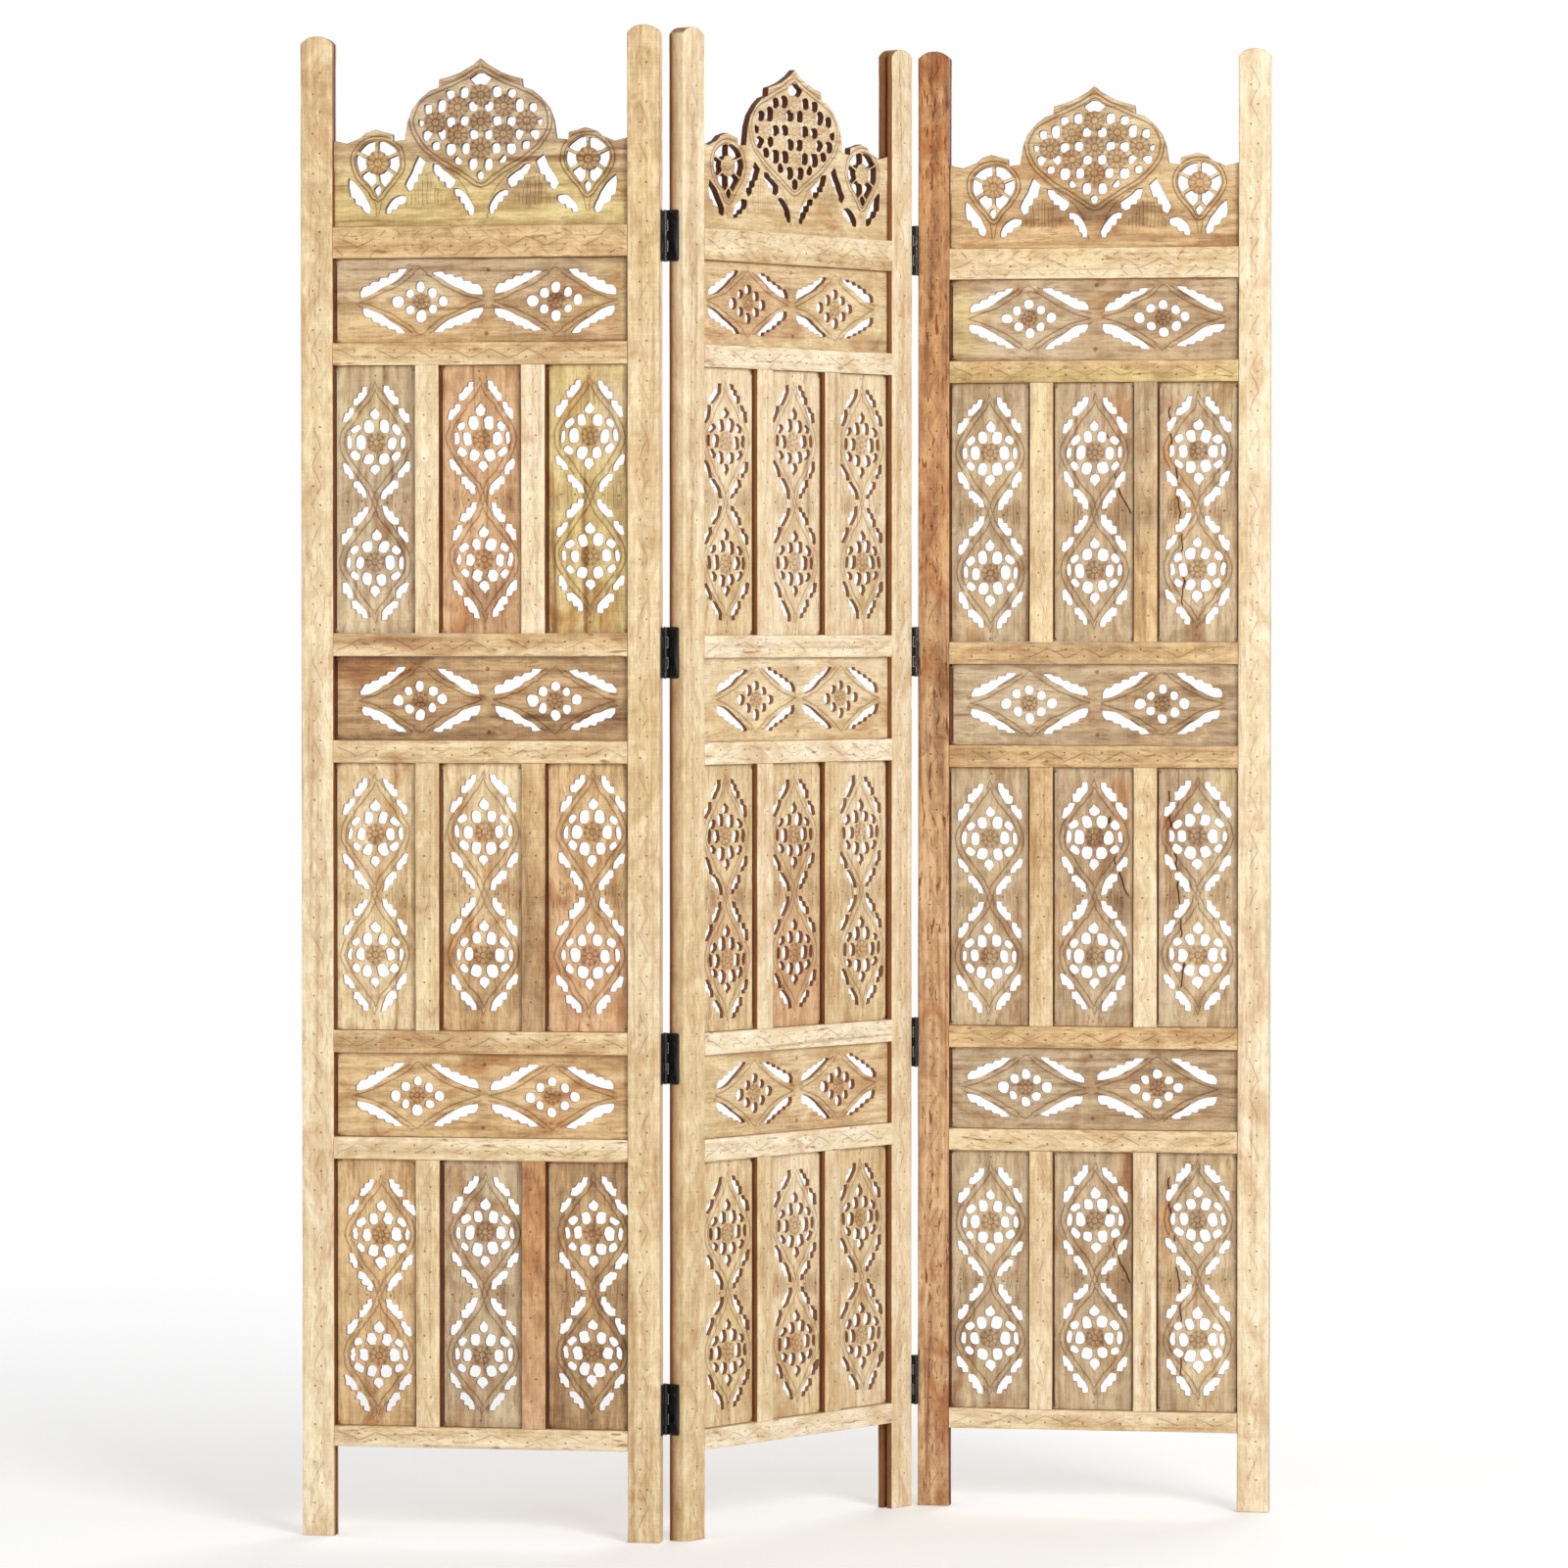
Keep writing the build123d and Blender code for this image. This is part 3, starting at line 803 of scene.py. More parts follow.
def tall_medallion(c, y0):
    """One medallion of a tall board: boss, petals, cells, drops and the eight leaves round it."""
    up = (0, y0)
    c.rosette(up, 9.5, 8, 0.6)
    boss = scallop((0, 0), 10.2, 10, 0.17)
    for x, y, w, h, turn in TALL_CELLS:
        c.hole(cell((x, y), w, h, turn, [boss], 26, 2.7) + up)
    for x, y, w, h, turn in TALL_OUTER_CELLS:
        c.hole(cell((x, y), w, h, turn, [], 16, 3.0) + up)
    for sy in SIGNS:
        c.hole(array(TALL_DROP) * (1, sy) + up)
        for sx in SIGNS:
            for leaf in (TALL_INNER_LEAF, TALL_OUTER_LEAF):
                c.hole(leaf_loop(leaf, (sx, sy)) + up, 1.0, 0.85)


def tall_board(name, place_of, crack=()):
    """Two medallions one above the other, their bands crossing at mid height.

    place_of has how far the upper and the lower medallion are off their marks across the board,
    and then up it.
    """
    c = Carving(name)
    half = 67.25 + c.rng.uniform(-1, 1)
    for y0 in (half, -half):
        tall_medallion(c, y0)
    quarter = smooth_line(TALL_BAND[1:], 2)
    for sx in SIGNS:
        # Each side of the two diamonds in turn; at mid height the bands cross
        for centre, sy in ((half, 1), (half, -1), (-half, 1), (-half, -1)):
            c.trace(quarter * (sx, sy) + (0, centre), 3.2, *BAND_CUT, (-2.7, 2.9))
    for sx in SIGNS:
        crossing = array(((-3.2 * sx, -9), (3.2 * sx, 9)))
        c.trace(crossing, 3, 1.25, 0.65, 0.74, (-2.7, 2.7))
    for sy in SIGNS:
        tip = array(((-3, 58.6), (0, 67.5), (3, 58.6))) * (1, sy) + (0, half * sy)
        c.trace(tip, 2.5, 0.95, 0.6, 0.7)
        c.dot((c.rng.uniform(-1, 1), sy * (TALL_OPENING / 2 - 5)), 1.5, 0.5)
    for sx in SIGNS:
        for x in (15, 33):
            c.dot((sx * x + c.rng.uniform(-1, 1), c.rng.uniform(-1.5, 1.5)), 1.7, 0.6)
    for sx in SIGNS:
        # Hatching beside the crossing
        for k in range(7):
            x = sx * (13 + k * 3.7 + c.rng.uniform(-0.8, 0.8))
            high = 3 + 1.6 * k + c.rng.uniform(-1.5, 1.5)
            c.trace(array(((x, -high), (x, high))), 4, 0.5, 0.25, c.rng.uniform(0.3, 0.9))
    left, right, up, down = place_of
    c.move((left + right) / 2, (up + down) / 2 + c.rng.uniform(-0.5, 0.5),
           (c.rng.uniform(0.95, 1), c.rng.uniform(0.985, 1) + (up - down) / 4 / half),
           (left - right) / 2 / half)
    if crack:
        # A split: a deep line darkened with painted shade and grime
        c.trace(array(crack), 3.5, 0.95, 2.0, 1.8)
    c.stray(lambda p: np.clip((COLUMN / 2 - np.abs(p[:, 0])) / 9, 0.15, 1))
    return c


def wide_board(name, place_of):
    """Two medallions side by side, their bands crossing at the middle of the board.

    place_of has how far the left and the right medallion are off their marks, and then both up.
    """
    c = Carving(name)
    boss = scallop((0, 0), 8.6, 10, 0.17)
    quarter = smooth_line(WIDE_BAND[1:-1], 2)
    for x0 in (74, -74):
        c.rosette((x0, 0), 8, 8, 0.65)
        for x, y, w, h in WIDE_CELLS:
            c.hole(cell((x, y), w, h, 0, [boss]) + (x0, 0))
        for sx, sy in product(SIGNS, SIGNS):
            c.hole(leaf_loop(WIDE_LEAF, (sx, sy)) + (x0, 0), 0.7, 0.8)
        for sx, sy in product(SIGNS, SIGNS):
            c.trace(quarter * (sx, sy) + (x0, 0), 3.2, *BAND_CUT, (1.6 * sx * sy, -3.4 * sx * sy))
        for sy in SIGNS:
            tip = array(((-8, 31), (0, 36.8), (8, 31))) * (1, sy) + (x0, 0)
            c.trace(tip, 2.6, 0.95, 0.6, 0.6)
    for sy in SIGNS:
        c.dot((c.rng.uniform(-2, 2), sy * (35 + c.rng.uniform(-1, 1))), 3.0, 0.7)
    left, right, up = place_of
    c.move((left + right) / 2, up, (1 + (right - left) / 148, 1))
    c.stray(lambda p: np.clip((WIDE_OPENING / 2 - np.abs(p[:, 1])) / 8, 0.15, 1))
    return c


CREST_HALF = ((0, 182), (8, 175.5), (22, 167.5), (34, 163), (45.5, 160), (46.5, 151), (56, 148),
              (66, 140), (76, 128), (81, 115), (82, 108), (84, 94.5), (98, 93), (98.5, 101),
              (107, 103), (117, 106), (128, 102.5), (134, 97), (149, 91), (171.5, 96))
CREST_ROSETTES = ((0, 143), (25.6, 130), (-25.6, 130), (51, 113.8), (-51, 112.6), (0, 113.5),
                  (25.4, 100), (-25.4, 99.6), (0, 84))
CREST_FIELD = ((0, 167), (12, 160), (29, 152), (47, 144.5), (64, 135), (72, 122), (72.8, 112),
               (68.5, 99), (57.6, 86), (42, 74), (25, 64), (12, 55.4), (0, 48))
CREST_CELLS = ((0, 159, 23, 14), (18.4, 145.5, 10.5, 12.5), (34, 143.5, 10.2, 10.6),
               (43.8, 130.8, 10.4, 15), (58.5, 127.5, 9.8, 11), (65.7, 114.5, 6.5, 12),
               (59.5, 98.8, 12, 11.5), (50, 87.8, 9.3, 9.6), (43.4, 99.5, 10.5, 11.5),
               (33.8, 113.2, 11.2, 11.5), (18, 114.2, 10.8, 11.4), (8.5, 130.2, 10.8, 11.6),
               (33.8, 83.8, 12, 13.6), (16.8, 84.2, 10.2, 12.4), (8.2, 99.2, 10.4, 11.4),
               (24.6, 72, 9, 9.4), (8.9, 66.8, 10.8, 13.4), (0, 54.9, 8.4, 10.6))
CREST_BARS = ((7, 152, 20, 166), (26, 130, 26, 156), (36, 135, 47, 146), (52, 112, 52, 142),
              (52, 112, 76, 121), (52, 112, 76, 100), (51, 101, 62, 87), (50.5, 101, 43.8, 91.3),
              (43.8, 91.3, 39.5, 76), (30, 91.4, 43.8, 91.4), (25.4, 99, 25.4, 80),
              (26, 80, 17, 69), (26, 80, 36, 71), (18, 76, 16, 61), (0, 81, 0, 62), (0, 62, 12, 54))
SIDE_FIELD = ((0, 23.5), (12, 21), (21.5, 12.5), (24.5, 2), (22.5, -7.5), (15, -18), (7, -27),
              (0, -36.5))
CREST_LEAVES = (
    ((124, 14.4), (122.4, 20), (126.5, 28.5), (132.5, 38.5), (139, 47), (147.4, 53.4),
     (147.8, 42), (146.2, 33), (141.4, 31.4), (140, 25.4), (133, 23), (131.4, 17), (127, 14.2)),
    ((83.6, 32.6), (91, 34), (97.5, 31), (103.5, 25.6), (107, 19), (106.6, 13.6), (100.6, 14.2),
     (99.4, 18.2), (93.6, 18.4), (91.8, 23), (86.6, 23.8), (83, 28)),
    ((69, 77.5), (60.6, 70), (63.6, 63.3), (65, 57), (69.6, 56), (70.4, 49), (75, 47.4),
     (75.8, 41.4), (81.6, 38.2), (85.6, 45.6), (81, 54), (76.5, 62.6), (72.4, 71.4)),
    ((28, 50.7), (35.5, 56.5), (42, 61), (47, 66.3), (53.5, 67), (53.2, 61.5), (51, 56),
     (47.5, 54.6), (46.8, 49.3), (40.3, 48.6), (39.6, 43.6), (34, 41.2), (29.4, 45)),
    ((8.8, 11.8), (7.6, 18.5), (10.4, 26), (14, 31.5), (18.5, 36.8), (24.8, 39.8), (29.8, 39.4),
     (29.2, 33.2), (24.2, 32.4), (23.4, 26.4), (19, 25), (17.8, 18.6), (14.6, 16.6), (13.6, 12)),
)
CREST_STEM = ((57.6, 75), (38, 62), (23, 49), (12, 31.5), (6.5, 10))
SIDE_CELLS = ((10, 17, 24, 18), (-10, 17, 24, 18), (18.8, -1, 16, 24), (-18.8, -1, 16, 24),
              (8.5, -17.5, 18, 18), (-8.5, -17.5, 18, 18))
SIDE_CENTRES = {1: (119, 72), -1: (-115, 69.5)}


def both(half):
    """Closed loop of a half outline from its top centre point down to its foot and its mirror."""
    p = array(half)
    left = p[::-1] * (-1, 1)
    return np.vstack([p, left[np.abs(left[:, 0]) > 1e-6]])


def side_medallion(c, centre, stain, wider):
    """The small onion medallion at one side of a crest."""
    side = smooth_line(both(SIDE_FIELD), 3, loop=True)
    drop = [strut((0, -21), (9 * sx, -31), 2.6) for sx in SIGNS]
    spokes = [strut((0, 0), (40 * math.cos(a), 40 * math.sin(a)), 3.0)
              for a in (math.radians(k) for k in (90, 26, 154, -32, -148, -90))]
    fence = [side, scallop((0, 0), 12.9, 12, 0.12)] + spokes + drop
    for x, y, w, h in SIDE_CELLS:
        c.hole(cell((x, y), w, h, 0, fence, 26, 3.5) + centre, 0.4, wider)
    c.hole(cell((0, -30), 9, 12, 0, [side] + drop, 14, 1.8) + centre, 0.4, 0.2)
    c.rosette(centre, 12.2, 10, stain)
    c.trace(closed(side) + centre, 3.2, *SIDE_CUT, (-1.7, -5.8))
    for sx in SIGNS:
        foot = array(((9, -33), (3, -44), (1.5, -56))) * (sx, 1)
        c.trace(foot + centre, 3, 0.75, 0.6)


def crest_board(name, stain, wider):
    """One large onion medallion full of rosettes and a smaller one at each side."""
    c = Carving(name)
    field = smooth_line(both(CREST_FIELD), 3, loop=True)
    blocks = [field] + [scallop(centre, 11.4, 12, 0.12) for centre in CREST_ROSETTES]
    blocks += [strut(a, b, 3.0) for a, b in combinations(CREST_ROSETTES, 2)
               if math.hypot(a[0] - b[0], a[1] - b[1]) < 35]
    blocks += [strut((x0 * sx, y0), (x1 * sx, y1), 2.8)
               for x0, y0, x1, y1 in CREST_BARS for sx in SIGNS]
    for x, y, w, h in CREST_CELLS:
        for sx in (SIGNS if x else (1,)):
            c.hole(cell((x * sx, y), w, h, 0, blocks, 26, 2.7), 0.35, wider)
    for centre in CREST_ROSETTES:
        c.rosette(centre, 10.9, 10, stain)
    c.trace(closed(field), 3.4, *EDGE_CUT, (-1.7, -6.2))
    stem = smooth_line(CREST_STEM, 3)
    for sx in SIGNS:
        c.trace(stem * (sx, 1), 3.2, 0.75, 0.6)
        side_medallion(c, SIDE_CENTRES[sx], stain * 0.9, wider)
        for leaf in CREST_LEAVES:
            c.hole(leaf_loop(leaf, (1.02 if sx > 0 else -1, 1)), 0.6, 0.6)
    for sx in SIGNS:
        # Hatching in a stepped heap between the leaves at each side of the stem
        for k in range(-5, 6):
            x = 60 + k * 4.2 + c.rng.uniform(-0.8, 0.8)
            high = 25 + 31 * (1 - abs(k) / 6) + c.rng.uniform(-3, 3)
            ends = array(((x, 24), (x + c.rng.uniform(-0.6, 0.6), high)))
            c.trace(ends * (sx, 1), 4, 0.6, 0.4, c.rng.uniform(0.5, 1.0))
        inner = smooth_line(CREST_HALF[:5], 2) * (sx, 1)
        c.trace(inner, 3.4, 0.7, 0.5, offsets=(4.2 * sx,))
    c.stray(lambda p: np.clip(np.minimum(171 - np.abs(p[:, 0]), p[:, 1]) / 20, 0, 1) * 0.6)
    return c


# ------------------------------------------------------------ frame members
def border(c, start, end, axis, centre, amplitude=5.2, half_pitch=21.5, soil_and_shade=0.8):
    """Incised vine zigzagging along a member, worn in places, with a punch mark in each bend."""
    span = end - start
    count = max(2, int(round(span / half_pitch)))
    pitch = span / count
    side = 1 if c.rng.random() < 0.5 else -1
    knots = []
    for k in range(count + 1):
        swing = side * (1 if k % 2 else -1) * amplitude * c.rng.uniform(0.85, 1.1)
        at = start + k * pitch + c.rng.uniform(-1.2, 1.2) * (0 < k < count)
        knots.append((at, swing))
    for (a, s), (b, t) in zip(knots[:-1], knots[1:]):
        path = []
        for f in (0.02, 0.25, 0.5, 0.75, 0.98):
            bow = math.sin(f * math.pi) * 0.9 * (1 if s > t else -1)
            path.append((a + (b - a) * f, s + (t - s) * f + bow))
        line = array(path)
        wear = c.rng.choice((0.15, 0.4, 0.7, 1.0))
        line = line[:, ::-1] if axis else line
        line[:, 1 - axis] += centre
        c.line(line, 0.65, 0.2 + 0.25 * wear, soil_and_shade * wear)
    for at, swing in knots[1:-1]:
        spot = [at + c.rng.uniform(-1, 1), -swing * 0.75]
        spot = spot[::-1] if axis else spot
        spot[1 - axis] += centre
        c.dot(spot, c.rng.uniform(1.2, 1.6), 0.6)


def rounded(radius, half, side_cut=0.12, groove=False):
    """Wall rings of a member with rounded edges, half its thickness each way; side_cut sets how
    much its sides show sawn wood and painted shade.
    """
    ring = []
    for k in (1, 2, 3):
        a = math.radians(30 * k)
        ring.append((radius * math.sin(a), half - radius * (1 - math.cos(a)), side_cut * (k > 2),
                     False))
    if groove:
        g = GROOVE_WIDTH / 2
        ring += [(radius, g, side_cut, False), (radius, g, 1.0, True)]
    back = [(outset, -z, cut, marked) for outset, z, cut, marked in reversed(ring)]
    return ring + back


def wavy(c, points, axis, size=0.35):
    """Loop with its long sides dressed by hand, a little inside the straight line."""
    p = points.copy()
    a, b = c.rng.uniform(0, 6.3), c.rng.uniform(0, 6.3)
    middle = (p[:, 1 - axis].max() + p[:, 1 - axis].min()) / 2
    wave = 0.5 + 0.5 * np.sin(p[:, axis] / 37 + a) * np.sin(p[:, axis] / 83 + b)
    p[:, 1 - axis] -= np.sign(p[:, 1 - axis] - middle) * wave * size
    return p


def rectangle(x0, y0, x1, y1, step, extra=()):
    """Counter-clockwise rectangle with points about every step, and at the extra x places."""
    xs = sorted({x0, x1, *[x for x in extra if x0 < x < x1]})
    foot = resample(array([(x, y0) for x in xs]), step)
    top = resample(array([(x, y1) for x in reversed(xs)]), step)
    right = resample(array(((x1, y0), (x1, y1))), step)[1:-1]
    left = resample(array(((x0, y1), (x0, y0))), step)[1:-1]
    return np.vstack([foot, right, top, left])


def member(c, label, loop, radius, thickness, side_cut, tints, box, along, looks, groove=None,
           step=6):
    """Slab with rounded edges, grooved between two x places; looks are its figure and flecks."""
    rings = rounded(radius, thickness / 2, side_cut, groove is not None)
    shade = shader_of(label, *tints[:2], box, along, tints[2:], *looks)
    return slab(loop, c, step, rings, thickness / 2, shade, groove)


def stile(label, side, top, tints):
    """Upright with a softly domed top, a groove down its inner face and a vine on both faces."""
    radius = 2.0
    c = Carving(label)
    outer, inner = side * PANEL_WIDTH / 2, side * OPENING / 2
    middle = (outer + inner) / 2
    half = STILE_WIDTH / 2 - radius
    lip = side * -1 * (half - (GROOVE_DEPTH - radius))  # groove's bottom, from the middle
    rise = np.linspace(half, -half, 15)
    rise = np.unique(np.append(rise, lip))[::-1]
    crown = top - radius - CROWN_DROP * 0.94 * np.abs(rise / (half + 0.4)) ** 2.6
    foot = np.array(sorted({-half, half, lip, 0}))
    walls = np.arange(14, crown[0] - 6, 12.5)
    loop = np.vstack([np.column_stack([x, y]) for x, y in (
        (foot, np.full(len(foot), radius)),
        (np.full(len(walls), half), walls),
        (rise, crown),
        (np.full(len(walls), -half), walls[::-1]),
    )])
    body = (loop[:, 1] > 6) & (loop[:, 1] < top - 30)
    loop[body] = wavy(c, loop, 1)[body]
    loop[:, 0] += middle
    border(c, 16, top - 20, 1, middle, soil_and_shade=0.62)
    bottom = middle + lip
    groove = (bottom, np.inf) if side > 0 else (-np.inf, bottom)
    looks = (0.9, 1.7) if tints[1] == "rust" else (0.3, 0.55)  # the red one is the most figured
    shell = member(c, label, loop, radius, STILE_THICKNESS, 1.15, tints, (100, top), 0, looks,
                   groove, 7)
    verts, _, values = shell
    outer_side = (verts[:, 0] - middle) * side > half + 0.4
    cut = np.where(outer_side, np.minimum(values["cut"], 0.15), values["cut"])
    if label == SHADE_EDGED_STILE:
        # Painted shade towards the back edge of the side that faces the left panel, by the hinge
        painted_shade = np.clip((-verts[:, 2] - 1) / 6, 0, 1) * 1.5
        cut = np.where(outer_side, np.maximum(cut, painted_shade), cut)
    values["cut"] = cut
    return shell


def rail(label, foot, height, tints):
    """Cross member with an incised vine on both faces, and shallow notches if it is tall."""
    radius = 1.6
    c = Carving(label)
    half = OPENING / 2
    loop = rectangle(-half + 0.2, foot + radius, half - 0.2, foot + height - radius, 12)
    loop = wavy(c, loop, 0, 0.3)
    middle = foot + height / 2
    border(c, -half + 5, half - 5, 0, middle, min(5.2, height / 2 - 7))
    if height > 30:
        for k in range(34):
            x = -half + 8 + k * 9.5 + c.rng.uniform(-1.5, 1.5)
            y = middle + (10.5 if k % 2 else -10.5) + c.rng.uniform(-1.5, 1.5)
            lean = c.rng.uniform(1.5, 3) * c.rng.choice((-1, 1))
            notch = array(((x - 2.6, y - lean), (x + 2.6, y + lean)))
            c.trace(notch, 2.6, 0.75, 0.4, c.rng.uniform(0.4, 0.9))
    verts, faces, values = member(c, label, loop, radius, RAIL_THICKNESS, 0.55, tints,
                                  (foot, foot + height), 1, (0.45, 1.0))
    verts[:, 0] = np.clip(verts[:, 0], -half, half)
    return verts, faces, values


def muntin(label, x0, y0, tints):
    """Short upright between two boards, grooved on both sides, with a vine on both faces."""
    radius = 1.8
    c = Carving(label)
    half = MUNTIN_WIDTH / 2 - radius
    web = MUNTIN_WIDTH / 2 - GROOVE_DEPTH
    loop = rectangle(-half, y0 + 0.2, half, y0 + TALL_OPENING - 0.2, 12, (-web, web))
    loop = wavy(c, loop, 1)
    loop[:, 0] += x0
    border(c, y0 + 8, y0 + TALL_OPENING - 8, 1, x0, 4.4, 23, 0.35)
    verts, faces, values = member(c, label, loop, radius, MUNTIN_THICKNESS, 1.15, tints,
                                  (y0, y0 + TALL_OPENING), 0, (0.35, 0.4), (x0 - web, x0 + web))
    verts[:, 1] = np.clip(verts[:, 1], y0, y0 + TALL_OPENING)
    return verts, faces, values


def hidden_ends(label, foot, height, start, end, tints, box):
    """The tenons or tongues of a piece: a plain block at each end, out of sight in the grooves."""
    shade = shader_of(label, *tints[:2], box, 1)
    for side in (-1, 1):
        xs, ys = sorted((side * start, side * end)), (foot + 0.5, foot + height)
        verts = np.array(list(product(xs, ys, (-TENON_HALF, TENON_HALF))), dtype=float)
        sides = [[0, 1, 3, 2], [4, 6, 7, 5], [0, 4, 5, 1], [2, 3, 7, 6], [0, 2, 6, 4], [1, 5, 7, 3]]
        yield verts, [sides], {"cut": np.full(8, 1.0), "carve": np.zeros(8), "stain": np.zeros(8),
                             **shade(verts)}


def pierced(label, loop, carving, tints, along, box, thickness=BOARD_THICKNESS, cut=1):
    """A board with its openings; its walls show as much sawn wood and painted shade as cut says."""
    shade = shader_of(label, *tints[:2], box, along, tints[2:], FIGURED[label.split()[0]], 0.7)
    edge = thickness / 2 - CHAMFER
    rings = [(CHAMFER, edge, cut, False), (CHAMFER, -edge, cut, False)]
    return slab(loop, carving, 5, rings, thickness / 2, shade)


def tongued_board(label, carving, width, height, tints, along):
    """Pierced board with its tongues in the grooves round the opening of that size."""
    x = (width + 2 * BOARD_REACH) / 2 - 0.45
    half = height / 2 - 0.1
    loop = rectangle(-x, -half + 0.4, x, half - 0.4, 9)
    return pierced(label, loop, carving, tints, along, (-half, half))


# ------------------------------------------------------------ the panels
# The stile whose outer side gets painted shade at its back edge
SHADE_EDGED_STILE = "middle left stile"
TENON_HALF = 2.9
CHAMFER = 0.45
FIGURED = {"left": 0.75, "middle": 0.35, "right": 0.6}  # how figured each panel's boards are
TALL_GAPS = {"left": (3.4, 1.3), "middle": (0.9, 2.6), "right": (1.7, 1.5)}  # widths of the shadow gaps beside them, their floors painted dark as shadow
# Each row is (foot tint, top tint, patches of other tints as shader_of takes them ...)
RIGHT_TIER = (
    ("grey", "grey", (-20, -120, 20, 30, "straw", 0.6), (0, 60, 40, 60, "straw", 0.3)),
    ("grey", "grey", (0, 0, 50, 160, "brown", 0.25), (34, 112, 13, 36, "rust", 0.8),
     (30, -12, 14, 26, "dark", 0.6), (36, 40, 8, 60, "brown", 0.6),
     (-34, -40, 8, 70, "honey", 0.5)),
    ("grey", "grey", (12, -60, 40, 90, "straw", 0.6), (-34, 66, 9, 42, "rust", 0.9),
     (-30, 10, 10, 40, "honey", 0.8), (30, 128, 20, 20, "olive", 0.4)),
)
BOARD_TINTS = {  # each tier's boards from left to right
    ("left", "upper"): (
        ("grey", "grey", (0, 90, 34, 50, "olive", 0.5), (0, -125, 40, 26, "straw", 0.5)),
        ("pink", "pink", (8, -110, 30, 26, "dark", 0.4)),
        ("olive", "olive", (28, 90, 16, 60, "grey", 0.8), (34, -40, 10, 60, "brown", 0.4))),
    ("left", "middle"): (("straw", "straw", (20, -30, 16, 60, "olive", 0.6)),
                         ("honey", "straw", (0, -100, 40, 50, "brown", 0.8)), ("pink", "honey")),
    ("left", "lower"): (("honey", "honey", (0, -80, 40, 60, "brown", 0.3)), ("grey", "grey"),
                        ("brown", "brown", (0, 60, 40, 60, "honey", 0.3))),
    ("middle", "upper"): (("straw", "cream"), ("cream", "cream"),
                          ("cream", "cream", (10, -90, 30, 40, "olive", 0.5))),
    ("middle", "middle"): (("straw", "straw", (0, -60, 40, 70, "pink", 0.5)), ("pink", "straw"),
                           ("straw", "cream")),
    ("middle", "lower"): (("straw", "straw", (-10, -80, 24, 50, "olive", 0.6)),
                          ("straw", "cream", (0, -66, 26, 30, "pink", 0.6)), ("cream", "straw")),
    ("right", "upper"): RIGHT_TIER,
    ("right", "middle"): RIGHT_TIER,
    ("right", "lower"): RIGHT_TIER,
}
RIGHT_WIDE = ("grey", "grey", (88, 0, 100, 60, "brown", 0.65))
WIDE_TINTS = {  # from the lowest up
    "left": (("honey", "honey"), ("brown", "brown", (0, 10, 150, 30, "honey", 0.7)),
             ("honey", "grey", (90, -10, 90, 50, "brown", 0.55), (150, 10, 36, 40, "olive", 0.5))),
    "middle": (("straw", "straw", (90, 0, 70, 40, "pink", 0.5)), ("straw", "cream"),
               ("straw", "straw", (-80, 0, 80, 50, "pink", 0.8), (140, -38, 40, 10, "brown", 0.6))),
    "right": (RIGHT_WIDE, RIGHT_WIDE, (*RIGHT_WIDE, (-148, 0, 26, 44, "olive", 0.8))),
}
MUNTIN_TINTS = {
    "left": (("straw", "straw"), ("pink", "rust"), ("straw", "straw"), ("brown", "honey"),
             ("straw", "cream"), ("cream", "cream")),
    "middle": (("cream", "straw"), ("straw", "cream"), ("cream", "cream"), ("straw", "straw"),
               ("cream", "cream"), ("cream", "cream")),
    "right": (("cream", "straw"), ("cream", "cream"), ("straw", "honey"), ("cream", "straw"),
              ("straw", "straw"), ("honey", "grey", (59, 1128, 12, 18, "brown", 0.8),
                                   (59, 960, 14, 16, "rust", 0.8), (59, 964, 7, 7, "dark", 0.9))),
}
RAIL_TINTS = {
    "left": (("cream", "straw"), ("straw", "cream"), ("honey", "straw"), ("straw", "straw"),
             ("straw", "honey"), ("straw", "honey"),
             ("honey", "honey", (70, 1372, 120, 14, "brown", 0.35))),
    "middle": (*[("ivory", "ivory")] * 6, ("straw", "cream")),
    "right": (("straw", "cream"), ("straw", "straw"), ("honey", "honey"),
              ("honey", "honey", (0, 850, 200, 20, "brown", 0.25)),
              ("honey", "honey", (0, 970, 90, 12, "brown", 0.5)), ("olive", "honey"),
              ("cream", "straw")),
}
STILE_TINTS = {
    ("left", "left"): ("cream", "straw", (-182, 1560, 30, 160, "honey", 0.5)),
    ("left", "right"): ("straw", "straw", (182, 1540, 30, 160, "honey", 0.4),
                        (182, 620, 26, 90, "cream", 0.8)),
    ("middle", "left"): ("straw", "cream"),
    ("middle", "right"): ("cream", "cream"),
    ("right", "left"): ("pink", "rust", (-182, 1420, 30, 300, "rust", 0.8),
                        (-182, 900, 30, 140, "brown", 0.5)),
    ("right", "right"): ("cream", "cream"),
}
CREST_TINTS = {
    "left": ("olive", "grey", (52, 38, 26, 20, "brown", 0.8), (-115, 80, 50, 30, "honey", 0.4),
             (-70, 40, 30, 30, "olive", 0.6), (0, 110, 80, 60, "grey", 0.5)),
    "middle": ("straw", "cream", (60, 30, 26, 30, "honey", 0.6), (-110, 60, 40, 40, "honey", 0.4)),
    "right": ("honey", "straw", (10, 42, 90, 13, "dark", 0.75), (60, 100, 60, 30, "honey", 0.4),
              (0, 122, 80, 60, "grey", 0.6)),
}
CREST_LOOKS = {"left": (0.8, 0.3), "middle": (0.2, 1.0), "right": (0.6, 0.3)}
CRACKS = {  # splits in the right panel's middle and right boards
    1: ((16, 88), (20, 62), (24, 40), (31, 20), (40, 2)),
    2: ((-33, 117), (-32, 88), (-28, 66), (-24.6, 42), (-23.8, 17), (-21, -2.5), (-19.7, -17),
        (-18.4, -44), (-21, -61), (-16, -76), (-18.4, -101), (-19.7, -113)),
}
